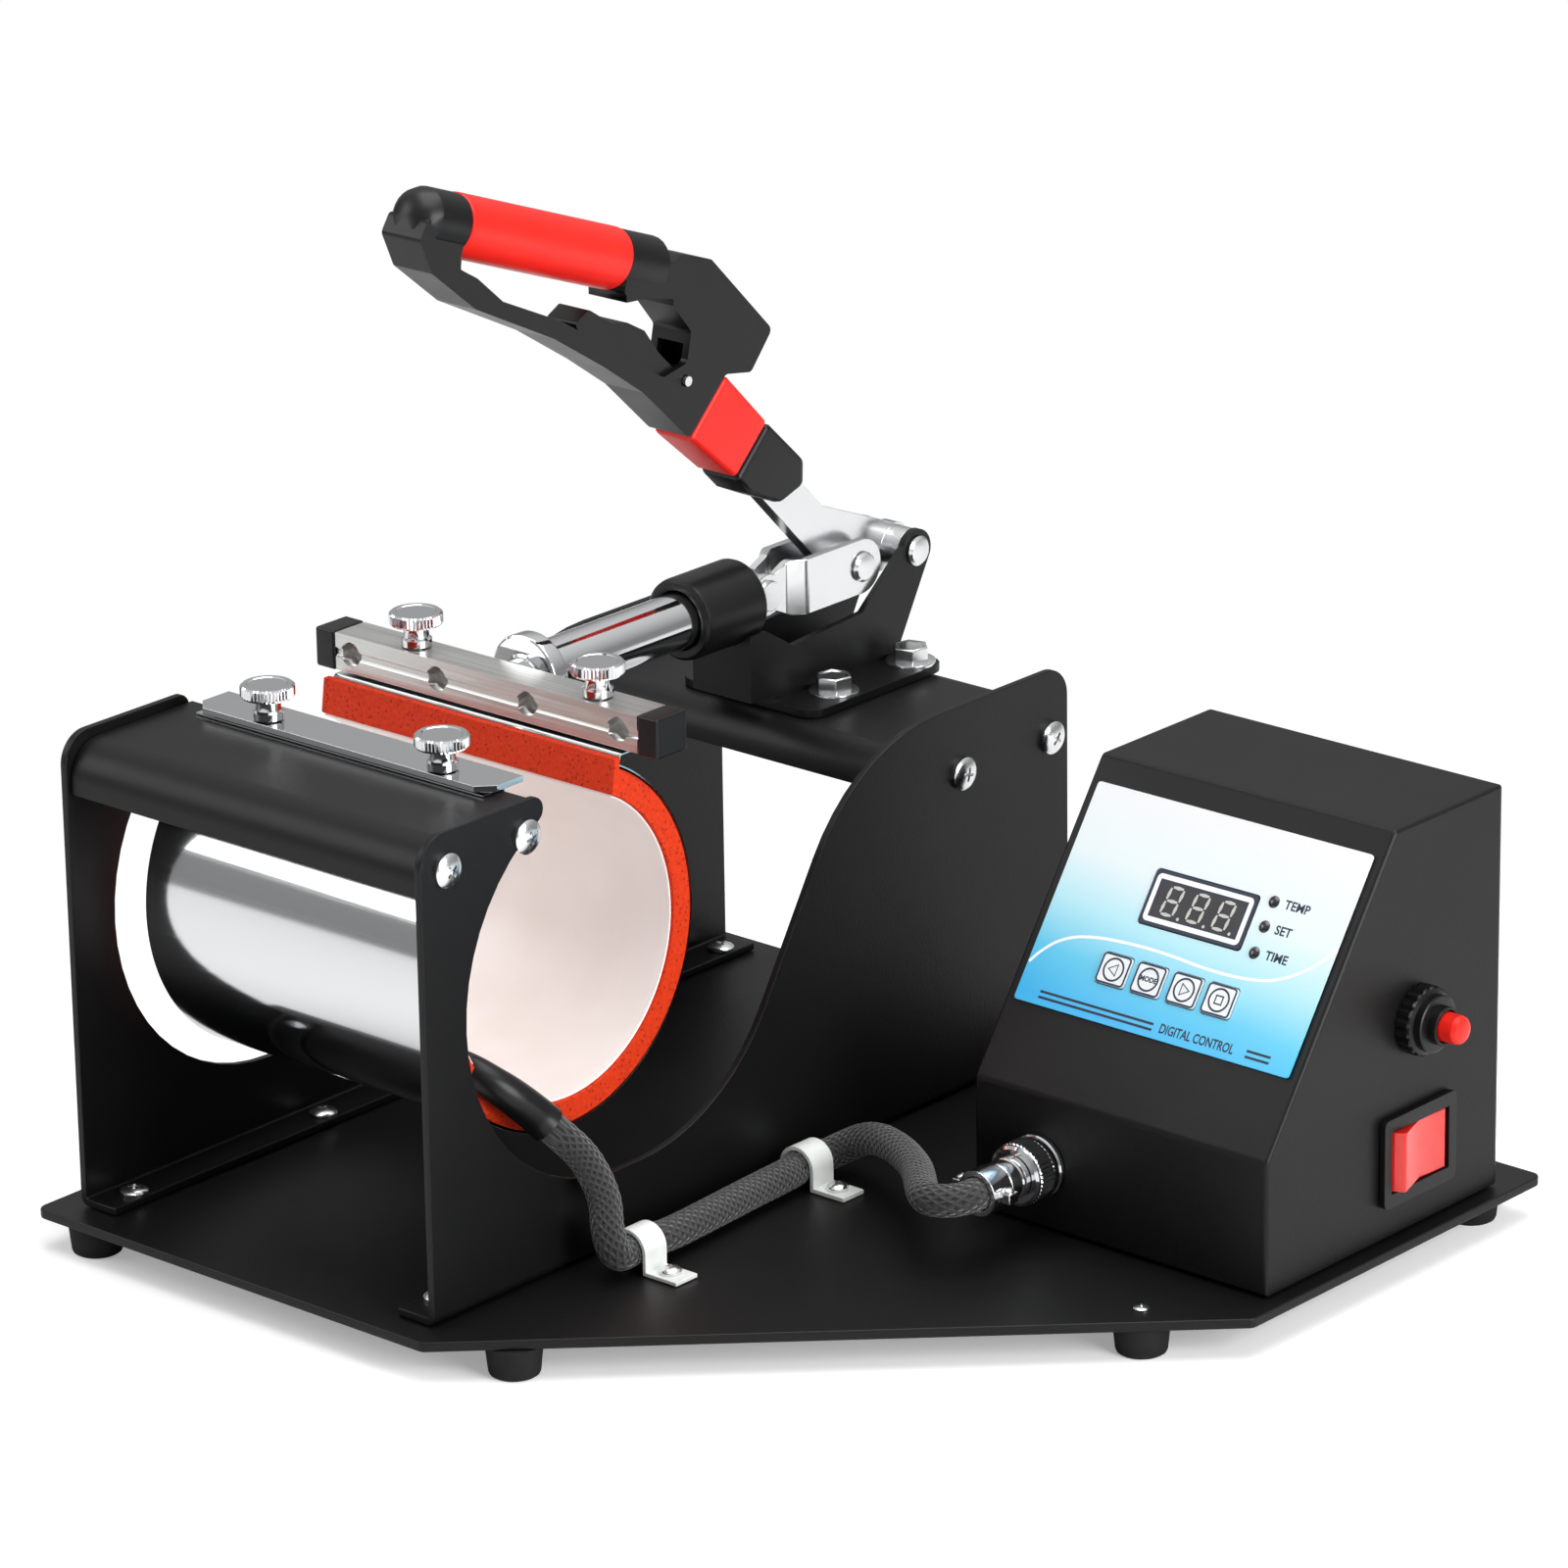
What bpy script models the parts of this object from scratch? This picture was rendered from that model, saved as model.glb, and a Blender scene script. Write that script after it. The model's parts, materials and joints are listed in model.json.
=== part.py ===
# Mug heat press: a bent-sheet stand, a flexible heater band, a push-pull toggle clamp that closes the
# band round a mug, and a control box that feeds the band through a clipped lead.
# Press coordinates: x = 0 on the left side plate's outer face, y = 0 on the plates' front edge and
# z = 0 under the plates. Lengths are in metres and angles in degrees.
import math

import bmesh
import bpy
from mathutils import Matrix, Vector

# Fits and mesh fineness
GAP = 0.0003
OVERRUN = 0.002
WELD = 0.000001
ROUND_STEPS = 24
SMALL_STEPS = 16
FILLET_STEPS = 4
ARC_DEGREES = 7.0

# Driving sizes of the stand
PLATE_SPACING = 0.140
PLATE_DEPTH = 0.276
PLATE_WALL = 0.0023
FRONT_TOP = 0.1427
REAR_TOP = 0.1205
BASE_WALL = 0.003
FOOT_HEIGHT = 0.0092

# Driving sizes of the heater band, seen along the mug's axis
BAND_CENTRE_Y = 0.0728
BAND_CENTRE_Z = 0.0868
BAND_BORE = 0.0443
MAT_WALL = 0.0083
SHELL_WALL = 0.0008
BAND_LEFT_X = 0.0112
BAND_LENGTH = 0.1138

# Driving sizes of the toggle clamp
CLAMP_X = PLATE_SPACING / 2
CLAMP_AXIS_Z = 0.1437
PIVOT_Y = 0.2765
CRANK_LENGTH = 0.022
LINK_LENGTH = 0.0384

# Driving sizes of the control box
BOX_LEFT_X = 0.2000
BOX_WIDTH = 0.1052
BOX_FRONT_Y = 0.1605
BOX_CREST_Y = 0.2179
BOX_BACK_Y = 0.2679
BOX_SILL_Z = 0.0406
BOX_TOP_Z = 0.1220
BOX_WALL = 0.0015

SIDE_VIEW = (math.pi / 2, 0, math.pi / 2)
FRONT_VIEW = (math.pi / 2, 0, 0)
ALONG_X = (0, math.pi / 2, 0)
ALONG_Y = (-math.pi / 2, 0, 0)
ALONG_MINUS_Y = (math.pi / 2, 0, 0)
UPRIGHT = (0, 0, 0)

# Finishes: colour, roughness, metallic
FINISHES = {
    "powder_coat": ("1E1E20", 0.45, 0.0),
    "black_plastic": ("161617", 0.35, 0.0),
    "black_rubber": ("141414", 0.80, 0.0),
    "red_plastic": ("D8231C", 0.35, 0.0),
    "bright_steel": ("D5D6D8", 0.18, 1.0),
    "plated_steel": ("C9CACC", 0.28, 1.0),
    "aluminium": ("C4C4C2", 0.35, 1.0),
    "silicone": ("DE3F20", 0.70, 0.0),
    "braid": ("1A1A1B", 0.75, 0.0),
    "white_nylon": ("F1F1EE", 0.50, 0.0),
    "panel_film": ("4FA6DD", 0.40, 0.0),
    "window_film": ("1B1B1D", 0.15, 0.0),
    "key_film": ("E9EBEC", 0.40, 0.0),
    "board": ("1F5A34", 0.50, 0.0),
}


def clear_scene():
    for item in list(bpy.data.objects):
        bpy.data.objects.remove(item, do_unlink=True)


def new_collection(name):
    group = bpy.data.collections.new(name)
    bpy.context.scene.collection.children.link(group)
    return group


clear_scene()
MODEL = new_collection("mug_heat_press")
CUTTERS = new_collection("cutters")


def linear(level):
    if level <= 0.04045:
        return level / 12.92
    return ((level + 0.055) / 1.055) ** 2.4


def finish(name):
    if name in bpy.data.materials:
        return bpy.data.materials[name]
    code, roughness, metallic = FINISHES[name]
    material = bpy.data.materials.new(name)
    material.use_nodes = True
    shader = material.node_tree.nodes["Principled BSDF"]
    channels = [linear(int(code[place:place + 2], 16) / 255) for place in (0, 2, 4)]
    shader.inputs["Base Color"].default_value = channels + [1.0]
    shader.inputs["Roughness"].default_value = roughness
    shader.inputs["Metallic"].default_value = metallic
    return material


# Points on an arc, from one angle to another
def arc(centre, radius, start, end):
    steps = max(2, math.ceil(abs(end - start) / ARC_DEGREES))
    points = []
    for step in range(steps + 1):
        angle = math.radians(start + (end - start) * step / steps)
        points.append((centre[0] + radius * math.cos(angle), centre[1] + radius * math.sin(angle)))
    return points


# A polygon or path whose corners become arcs
def rounded(points, radius, closed=True):
    result = []
    count = len(points)
    for place, point in enumerate(points):
        if not closed and place in (0, count - 1):
            result.append(point)
            continue
        corner = Vector(point)
        before = Vector(points[place - 1]) - corner
        after = Vector(points[(place + 1) % count]) - corner
        opening = before.angle(after)
        reach = min(radius / math.tan(opening / 2), before.length / 2, after.length / 2)
        size = reach * math.tan(opening / 2)
        middle = (before.normalized() + after.normalized()).normalized()
        centre = corner + middle * size / math.sin(opening / 2)
        start = corner + before.normalized() * reach - centre
        end = corner + after.normalized() * reach - centre
        sweep = start.angle_signed(end)
        for step in range(FILLET_STEPS + 1):
            turned_by = Matrix.Rotation(-sweep * step / FILLET_STEPS, 2)
            result.append(tuple(centre + turned_by @ start))
    return result


def rectangle(low_u, low_v, high_u, high_v):
    return [(low_u, low_v), (high_u, low_v), (high_u, high_v), (low_u, high_v)]


# A path moved sideways, to its left where the distance is positive
def moved_path(points, distance, closed=False):
    result = []
    count = len(points)
    for place, point in enumerate(points):
        here = Vector(point)
        back = Vector(points[place - 1]) if closed or place > 0 else None
        ahead = Vector(points[(place + 1) % count]) if closed or place < count - 1 else None
        ways = []
        if back is not None:
            ways.append((here - back).normalized())
        if ahead is not None:
            ways.append((ahead - here).normalized())
        normals = [Vector((-way.y, way.x)) for way in ways]
        middle = sum(normals, Vector((0, 0))).normalized()
        result.append(tuple(here + middle * distance / middle.dot(normals[0])))
    return result


# The outline of a sheet bent along a path
def sheet_outline(path, wall):
    return moved_path(path, wall / 2) + moved_path(path, -wall / 2)[::-1]


def welded(shape):
    bmesh.ops.remove_doubles(shape, verts=shape.verts, dist=WELD)
    bmesh.ops.recalc_face_normals(shape, faces=shape.faces)


# A flat outline, with holes as further loops, extruded along its own Z about zero
def outline_mesh(loops, thickness):
    curve = bpy.data.curves.new("outline", "CURVE")
    curve.dimensions = "2D"
    curve.fill_mode = "BOTH"
    curve.extrude = thickness / 2
    for loop in loops:
        spline = curve.splines.new("POLY")
        spline.points.add(len(loop) - 1)
        for point, place in zip(spline.points, loop):
            point.co = (place[0], place[1], 0, 1)
        spline.use_cyclic_u = True
    return curve_to_mesh(curve)


def curve_to_mesh(curve):
    holder = bpy.data.objects.new("outline", curve)
    CUTTERS.objects.link(holder)
    bpy.context.view_layer.update()
    ready = holder.evaluated_get(bpy.context.evaluated_depsgraph_get())
    mesh = bpy.data.meshes.new_from_object(ready)
    bpy.data.objects.remove(holder, do_unlink=True)
    shape = bmesh.new()
    shape.from_mesh(mesh)
    welded(shape)
    shape.to_mesh(mesh)
    shape.free()
    mesh.materials.clear()
    return mesh


def block_mesh(size):
    shape = bmesh.new()
    bmesh.ops.create_cube(shape, size=1.0)
    bmesh.ops.scale(shape, vec=size, verts=shape.verts)
    mesh = bpy.data.meshes.new("block")
    shape.to_mesh(mesh)
    shape.free()
    return mesh


def cylinder_mesh(radius, length, steps=SMALL_STEPS):
    shape = bmesh.new()
    bmesh.ops.create_cone(shape, cap_ends=True, segments=steps, radius1=radius, radius2=radius, depth=length)
    mesh = bpy.data.meshes.new("cylinder")
    shape.to_mesh(mesh)
    shape.free()
    return mesh


# A profile of (radius, height) pairs that runs down its outer side, for the Screw modifier
def profile_mesh(profile, closed):
    mesh = bpy.data.meshes.new("profile")
    points = [(radius, 0, height) for radius, height in profile]
    edges = [(place, place + 1) for place in range(len(points) - 1)]
    if closed:
        edges.append((len(points) - 1, 0))
    mesh.from_pydata(points, edges, [])
    return mesh


# Places of hubs are kept in press coordinates, so that every piece can be placed in them
def local_place(at, parent):
    return Vector(at) - Vector(parent["place"])


def new_hub(name, at, parent=None):
    hub = bpy.data.objects.new(name, None)
    MODEL.objects.link(hub)
    hub["place"] = tuple(at)
    hub.empty_display_size = MAT_WALL
    if parent is not None:
        hub.parent = parent
        hub.location = local_place(at, parent)
    return hub


def new_piece(name, mesh, look, at=(0, 0, 0), turn=UPRIGHT, parent=None):
    parent = parent or PRESS
    piece = bpy.data.objects.new(name, mesh)
    mesh.name = name
    mesh.materials.append(finish(look))
    piece.parent = parent
    piece.location = local_place(at, parent)
    piece.rotation_euler = turn
    MODEL.objects.link(piece)
    return piece


def new_cutter(name, mesh, at=(0, 0, 0), turn=UPRIGHT, parent=None):
    parent = parent or PRESS
    tool = bpy.data.objects.new(name, mesh)
    tool.parent = parent
    tool.location = local_place(at, parent)
    tool.rotation_euler = turn
    tool.hide_render = True
    tool.display_type = "WIRE"
    CUTTERS.objects.link(tool)
    return tool


def combine(piece, tool, operation):
    step = piece.modifiers.new(tool.name, "BOOLEAN")
    step.operation = operation
    step.solver = "EXACT"
    step.object = tool


def cut(piece, *tools):
    for tool in tools:
        combine(piece, tool, "DIFFERENCE")


def join(piece, *tools):
    for tool in tools:
        combine(piece, tool, "UNION")


def keep_inside(piece, tool):
    combine(piece, tool, "INTERSECT")


def soften(piece, width, segments=2, angle=40):
    step = piece.modifiers.new("soft edges", "BEVEL")
    step.width = width
    step.segments = segments
    step.limit_method = "ANGLE"
    step.angle_limit = math.radians(angle)
    step.use_clamp_overlap = True


def spin(piece, steps=ROUND_STEPS):
    step = piece.modifiers.new("turned", "SCREW")
    step.axis = "Z"
    step.steps = steps
    step.render_steps = steps
    step.use_merge_vertices = True
    step.merge_threshold = 0.0001
    step.use_smooth_shade = True


def new_turned(name, profile, look, at, turn=UPRIGHT, parent=None, closed=False, steps=ROUND_STEPS):
    piece = new_piece(name, profile_mesh(profile, closed), look, at, turn, parent)
    spin(piece, steps)
    return piece


# Where the press stands: centred on its own box, with the feet's soles at zero
BASE_LEFT_X = -0.0090
BASE_FRONT_Y = -0.0093
BASE_NOTCH_X = 0.1437
BASE_MARGIN = 0.0051
BASE_RIGHT_X = BOX_LEFT_X + BOX_WIDTH + BASE_MARGIN
BASE_NOTCH_Y = 0.1484
BASE_BACK_Y = 0.2830
BASE_CORNER = 0.003
RESET_REACH = 0.0168
BASE_TOP_Z = -GAP
BASE_UNDER_Z = BASE_TOP_Z - BASE_WALL
FOOT_TOP_Z = BASE_UNDER_Z - GAP
FOOT_SOLE_Z = FOOT_TOP_Z - FOOT_HEIGHT
BOX_RIGHT_X = BOX_LEFT_X + BOX_WIDTH
MIDDLE_X = (BASE_LEFT_X + BOX_RIGHT_X + RESET_REACH) / 2
MIDDLE_Y = (BASE_FRONT_Y + BASE_BACK_Y) / 2

PRESS = new_hub("press_origin", (0, 0, 0))
PRESS.location = (-MIDDLE_X, -MIDDLE_Y, -FOOT_SOLE_Z)


# Base plate: one flat sheet, cut away at the front right corner
def make_base_plate():
    corners = [
        (BASE_LEFT_X, BASE_FRONT_Y),
        (BASE_NOTCH_X, BASE_FRONT_Y),
        (BASE_RIGHT_X, BASE_NOTCH_Y),
        (BASE_RIGHT_X, BASE_BACK_Y),
        (BASE_LEFT_X, BASE_BACK_Y),
    ]
    mesh = outline_mesh([rounded(corners, BASE_CORNER)], BASE_WALL)
    new_piece("base_plate", mesh, "powder_coat", (0, 0, (BASE_TOP_Z + BASE_UNDER_Z) / 2))


# Rubber feet: turned, a little narrower at the sole, with a screw recess
FOOT_RADIUS = 0.0082
FOOT_SOLE_RADIUS = 0.0073
FOOT_CHAMFER = 0.0008
FOOT_RECESS_RADIUS = 0.0032
FOOT_RECESS_DEPTH = 0.004
FOOT_INSET = 0.0146
FOOT_FRONT_INSET = 0.0097
FOOT_MIDDLE_INSETS = (0.0140, 0.0223)
FOOT_SIDE_INSETS = (0.0284, 0.0140)


def make_feet():
    places = {
        "foot_front_left": (BASE_LEFT_X + FOOT_INSET, BASE_FRONT_Y + FOOT_FRONT_INSET),
        "foot_front_middle": (BASE_NOTCH_X + FOOT_MIDDLE_INSETS[0], BASE_FRONT_Y + FOOT_MIDDLE_INSETS[1]),
        "foot_right": (BASE_RIGHT_X - FOOT_SIDE_INSETS[0], BASE_NOTCH_Y - FOOT_SIDE_INSETS[1]),
        "foot_rear_right": (BASE_RIGHT_X - FOOT_INSET, BASE_BACK_Y - FOOT_INSET),
        "foot_rear_left": (BASE_LEFT_X + FOOT_INSET, BASE_BACK_Y - FOOT_INSET),
    }
    profile = [
        (0, FOOT_HEIGHT),
        (FOOT_RADIUS, FOOT_HEIGHT),
        (FOOT_SOLE_RADIUS, FOOT_CHAMFER),
        (FOOT_SOLE_RADIUS - FOOT_CHAMFER, 0),
        (FOOT_RECESS_RADIUS, 0),
        (FOOT_RECESS_RADIUS, FOOT_RECESS_DEPTH),
        (0, FOOT_RECESS_DEPTH),
    ]
    for name, (x, y) in places.items():
        new_turned(name, profile, "black_rubber", (x, y, FOOT_SOLE_Z), steps=SMALL_STEPS)


# Side plates: a sheet with its foot flange folded inward, trimmed to the side outline
PLATE_FLANGE = 0.014
PLATE_BEND = 0.003
PLATE_CORNER = 0.0093
NOSE_RADIUS = 0.0039
WINDOW_RADIUS = 0.060
WINDOW_CENTRE_Y = 0.0765
WINDOW_SILL_Z = 0.023
WINDOW_CENTRE_Z = WINDOW_SILL_Z + WINDOW_RADIUS
SWEEP_RADIUS = 0.0635
SWEEP_START_Y = 0.0854
SWEEP_DEGREES = 58.0
CREST_RADIUS = 0.0628


def plate_outline():
    nose_z = FRONT_TOP - NOSE_RADIUS
    reach = WINDOW_RADIUS + NOSE_RADIUS
    nose_angle = 180 - math.degrees(math.asin((nose_z - WINDOW_CENTRE_Z) / reach))
    nose_y = WINDOW_CENTRE_Y + reach * math.cos(math.radians(nose_angle))
    tilt = math.radians(SWEEP_DEGREES)
    sweep_z = WINDOW_SILL_Z + SWEEP_RADIUS
    rise = REAR_TOP - WINDOW_SILL_Z
    ramp = (rise - (SWEEP_RADIUS + CREST_RADIUS) * (1 - math.cos(tilt))) / math.sin(tilt)
    reach_y = (SWEEP_RADIUS + CREST_RADIUS) * math.sin(tilt) + ramp * math.cos(tilt)
    crest_y = SWEEP_START_Y + reach_y
    points = [(0, 0)]
    points += arc((PLATE_CORNER, FRONT_TOP - PLATE_CORNER), PLATE_CORNER, 180, 90)
    points += arc((nose_y, nose_z), NOSE_RADIUS, 90, nose_angle - 180)
    points += arc((WINDOW_CENTRE_Y, WINDOW_CENTRE_Z), WINDOW_RADIUS, nose_angle, 270)[1:]
    points += arc((SWEEP_START_Y, sweep_z), SWEEP_RADIUS, 270, 270 + SWEEP_DEGREES)
    points += arc((crest_y, REAR_TOP - CREST_RADIUS), CREST_RADIUS, 90 + SWEEP_DEGREES, 90)
    points += arc((PLATE_DEPTH - PLATE_CORNER, REAR_TOP - PLATE_CORNER), PLATE_CORNER, 90, 0)
    points.append((PLATE_DEPTH, 0))
    return points


def make_side_plate(name, outer_x, inward):
    middle = PLATE_WALL / 2
    bend = PLATE_BEND - middle
    path = [(middle, FRONT_TOP + OVERRUN)]
    path += arc((middle + bend, middle + bend), bend, 180, 270)
    path.append((PLATE_FLANGE, middle))
    path = [(outer_x + inward * x, z) for x, z in path]
    length = PLATE_DEPTH + 2 * OVERRUN
    strip = outline_mesh([sheet_outline(path, PLATE_WALL)], length)
    plate = new_piece(name, strip, "powder_coat", (0, PLATE_DEPTH / 2, 0), FRONT_VIEW)
    width = PLATE_FLANGE + 2 * OVERRUN
    trim = outline_mesh([plate_outline()], width)
    middle_x = outer_x + inward * PLATE_FLANGE / 2
    keep_inside(plate, new_cutter(name + "_trim", trim, (middle_x, 0, 0), SIDE_VIEW))


# Front cover: bent sheet between the plates with an end flange at each side
COVER_WALL = 0.0020
COVER_FRONT_Y = 0.0015
COVER_TOP = 0.1400
COVER_LIP_Z = 0.1250
COVER_BACK_Y = 0.0500
COVER_BEND = 0.0110
COVER_LEFT_X = PLATE_WALL + GAP
COVER_RIGHT_X = PLATE_SPACING - PLATE_WALL - GAP
COVER_LENGTH = COVER_RIGHT_X - COVER_LEFT_X
SHANK_RADIUS = 0.0025
SHANK_HOLE = SHANK_RADIUS + GAP
FRONT_THUMB_Y = 0.0457
FRONT_THUMB_XS = (0.0377, 0.1054)


def shank_cutter(name, x, y, z, parent=None):
    mesh = cylinder_mesh(SHANK_HOLE, COVER_BEND)
    return new_cutter(name, mesh, (x, y, z), parent=parent)


def make_front_cover():
    centre = (COVER_FRONT_Y + COVER_BEND, COVER_TOP - COVER_BEND)
    outer = [(COVER_FRONT_Y, COVER_LIP_Z)]
    outer += arc(centre, COVER_BEND, 180, 90)
    outer += [(COVER_BACK_Y, COVER_TOP), (COVER_BACK_Y, COVER_LIP_Z)]
    cover = new_piece("front_cover", outline_mesh([outer], COVER_LENGTH), "powder_coat",
                      (CLAMP_X, 0, 0), SIDE_VIEW)
    low = COVER_LIP_Z - OVERRUN
    inner = [(COVER_FRONT_Y + COVER_WALL, low)]
    inner += arc(centre, COVER_BEND - COVER_WALL, 180, 90)
    inner += [(COVER_BACK_Y + OVERRUN, COVER_TOP - COVER_WALL), (COVER_BACK_Y + OVERRUN, low)]
    hollow = outline_mesh([inner], COVER_LENGTH - 2 * COVER_WALL)
    cut(cover, new_cutter("front_cover_hollow", hollow, (CLAMP_X, 0, 0), SIDE_VIEW))
    window = cylinder_mesh(WINDOW_RADIUS, PLATE_SPACING, 2 * ROUND_STEPS)
    place = (CLAMP_X, WINDOW_CENTRE_Y, WINDOW_CENTRE_Z)
    cut(cover, new_cutter("front_cover_window", window, place, ALONG_X))
    for place, x in enumerate(FRONT_THUMB_XS):
        cut(cover, shank_cutter("front_cover_hole_%d" % place, x, FRONT_THUMB_Y, COVER_TOP))


# Rear cover: bent sheet bridge that carries the clamp
BRIDGE_FRONT_Y = 0.2007
BRIDGE_BACK_Y = 0.2740
BRIDGE_TOP = 0.1105
BRIDGE_LIP_Z = 0.0995
BRIDGE_FLANGE_Z = 0.0920
BRIDGE_BEND = 0.0100
BOLT_OFFSET_X = 0.0192
BOLT_YS = (0.2290, 0.2640)
BOLT_HOLE = 0.0033


def bolt_places():
    return [(CLAMP_X + side * BOLT_OFFSET_X, y) for y in BOLT_YS for side in (-1, 1)]


def bolt_cutters(name):
    tools = []
    for place, (x, y) in enumerate(bolt_places()):
        mesh = cylinder_mesh(BOLT_HOLE, 2 * BRIDGE_BEND)
        tools.append(new_cutter("%s_hole_%d" % (name, place), mesh, (x, y, BRIDGE_TOP)))
    return tools


def make_rear_cover():
    front = (BRIDGE_FRONT_Y + BRIDGE_BEND, BRIDGE_TOP - BRIDGE_BEND)
    back = (BRIDGE_BACK_Y - BRIDGE_BEND, BRIDGE_TOP - BRIDGE_BEND)
    outer = [(BRIDGE_FRONT_Y, BRIDGE_FLANGE_Z)]
    outer += arc(front, BRIDGE_BEND, 180, 90)
    outer += arc(back, BRIDGE_BEND, 90, 0)
    outer += [(BRIDGE_BACK_Y, BRIDGE_FLANGE_Z)]
    cover = new_piece("rear_cover", outline_mesh([outer], COVER_LENGTH), "powder_coat",
                      (CLAMP_X, 0, 0), SIDE_VIEW)
    low = BRIDGE_FLANGE_Z - OVERRUN
    inner = [(BRIDGE_FRONT_Y - OVERRUN, low), (BRIDGE_FRONT_Y - OVERRUN, BRIDGE_LIP_Z)]
    inner += [(BRIDGE_FRONT_Y + COVER_WALL, BRIDGE_LIP_Z)]
    inner += arc(front, BRIDGE_BEND - COVER_WALL, 180, 90)
    inner += arc(back, BRIDGE_BEND - COVER_WALL, 90, 0)
    inner += [(BRIDGE_BACK_Y - COVER_WALL, BRIDGE_LIP_Z), (BRIDGE_BACK_Y + OVERRUN, BRIDGE_LIP_Z)]
    inner += [(BRIDGE_BACK_Y + OVERRUN, low)]
    hollow = outline_mesh([inner], COVER_LENGTH - 2 * COVER_WALL)
    cut(cover, new_cutter("rear_cover_hollow", hollow, (CLAMP_X, 0, 0), SIDE_VIEW))
    cut(cover, *bolt_cutters("rear_cover"))


# Heater band: a steel shell round a silicone mat, both in a fixed front length, a flexing
# bottom length and a rear length that rides with the clamp bar
FRONT_END_DEGREES = 117.0
FRONT_SPLIT_DEGREES = 245.0
REAR_SPLIT_DEGREES = 295.0
REAR_END_DEGREES = 423.0
SHELL_INSET = 0.001
BAND_CENTRE = (BAND_CENTRE_Y, BAND_CENTRE_Z)
MAT_OUTER = BAND_BORE + MAT_WALL
SHELL_INNER = MAT_OUTER + GAP
SHELL_MIDDLE = SHELL_INNER + SHELL_WALL / 2
BAND_OUTER = SHELL_INNER + SHELL_WALL
BAND_MIDDLE_X = BAND_LEFT_X + BAND_LENGTH / 2
BAND_RIGHT_X = BAND_LEFT_X + BAND_LENGTH
SPLIT_DEGREES = math.degrees(GAP / BAND_BORE)
TAB_FRONT_Y = 0.0420
TAB_LEVEL = COVER_TOP + GAP + SHELL_WALL / 2
TAB_RISER_Y = COVER_BACK_Y + 2 * GAP + SHELL_WALL / 2
TAB_FOOT_Z = 0.1365

# Clamp bar sizes, used by the band's rear tab
BAR_FRONT_Y = 0.0999
BAR_DEPTH = 0.0121
BAR_LOW_Z = 0.1381
BAR_HEIGHT = 0.0112
BAR_THUMB_Y = 0.1057
BAR_THUMB_XS = (0.0383, 0.1089)
REAR_TAB_LEVEL = BAR_LOW_Z - GAP - SHELL_WALL / 2
REAR_TAB_FOLD_Y = 0.0952
REAR_TAB_TURN_Y = 0.0974


def mat_mesh(start, end):
    loop = arc(BAND_CENTRE, MAT_OUTER, start, end) + arc(BAND_CENTRE, BAND_BORE, end, start)
    return outline_mesh([loop], BAND_LENGTH)


def shell_mesh(path):
    return outline_mesh([sheet_outline(path, SHELL_WALL)], BAND_LENGTH - 2 * SHELL_INSET)


def make_band(plunger_hub):
    place = (BAND_MIDDLE_X, 0, 0)
    split = SPLIT_DEGREES
    front = (FRONT_END_DEGREES, FRONT_SPLIT_DEGREES)
    bottom = (FRONT_SPLIT_DEGREES + split, REAR_SPLIT_DEGREES - split)
    rear = (REAR_SPLIT_DEGREES, REAR_END_DEGREES)
    new_piece("heater_mat_front", mat_mesh(*front), "silicone", place, SIDE_VIEW)
    new_piece("heater_mat_bottom", mat_mesh(*bottom), "silicone", place, SIDE_VIEW)
    new_piece("heater_mat_rear", mat_mesh(*rear), "silicone", place, SIDE_VIEW, plunger_hub)

    path = arc(BAND_CENTRE, SHELL_MIDDLE, FRONT_SPLIT_DEGREES, FRONT_END_DEGREES)
    path += [(TAB_RISER_Y, TAB_FOOT_Z), (TAB_RISER_Y, TAB_LEVEL), (TAB_FRONT_Y, TAB_LEVEL)]
    shell = new_piece("heater_shell_front", shell_mesh(path), "bright_steel", place, SIDE_VIEW)
    for count, x in enumerate(FRONT_THUMB_XS):
        cut(shell, shank_cutter("front_tab_hole_%d" % count, x, FRONT_THUMB_Y, TAB_LEVEL))

    path = arc(BAND_CENTRE, SHELL_MIDDLE, *bottom)
    new_piece("heater_shell_bottom", shell_mesh(path), "bright_steel", place, SIDE_VIEW)

    path = arc(BAND_CENTRE, SHELL_MIDDLE, *rear)
    path += [(REAR_TAB_FOLD_Y, (path[-1][1] + REAR_TAB_LEVEL) / 2), (REAR_TAB_TURN_Y, REAR_TAB_LEVEL)]
    path += [(BAR_FRONT_Y + BAR_DEPTH, REAR_TAB_LEVEL)]
    shell = new_piece("heater_shell_rear", shell_mesh(path), "bright_steel", place, SIDE_VIEW, plunger_hub)
    for count, x in enumerate(BAR_THUMB_XS):
        cut(shell, shank_cutter("rear_tab_hole_%d" % count, x, BAR_THUMB_Y, REAR_TAB_LEVEL, plunger_hub))


# Clamp strip: bright flat bar that pins the band's front tab to the cover
STRIP_WALL = 0.0018
STRIP_LEFT_X = 0.0115
STRIP_RIGHT_X = 0.1262
STRIP_FRONT_Y = 0.0410
STRIP_BACK_Y = 0.0560
STRIP_CHAMFER = 0.0045
STRIP_LOW_Z = TAB_LEVEL + SHELL_WALL / 2 + GAP
STRIP_TOP_Z = STRIP_LOW_Z + STRIP_WALL


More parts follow.
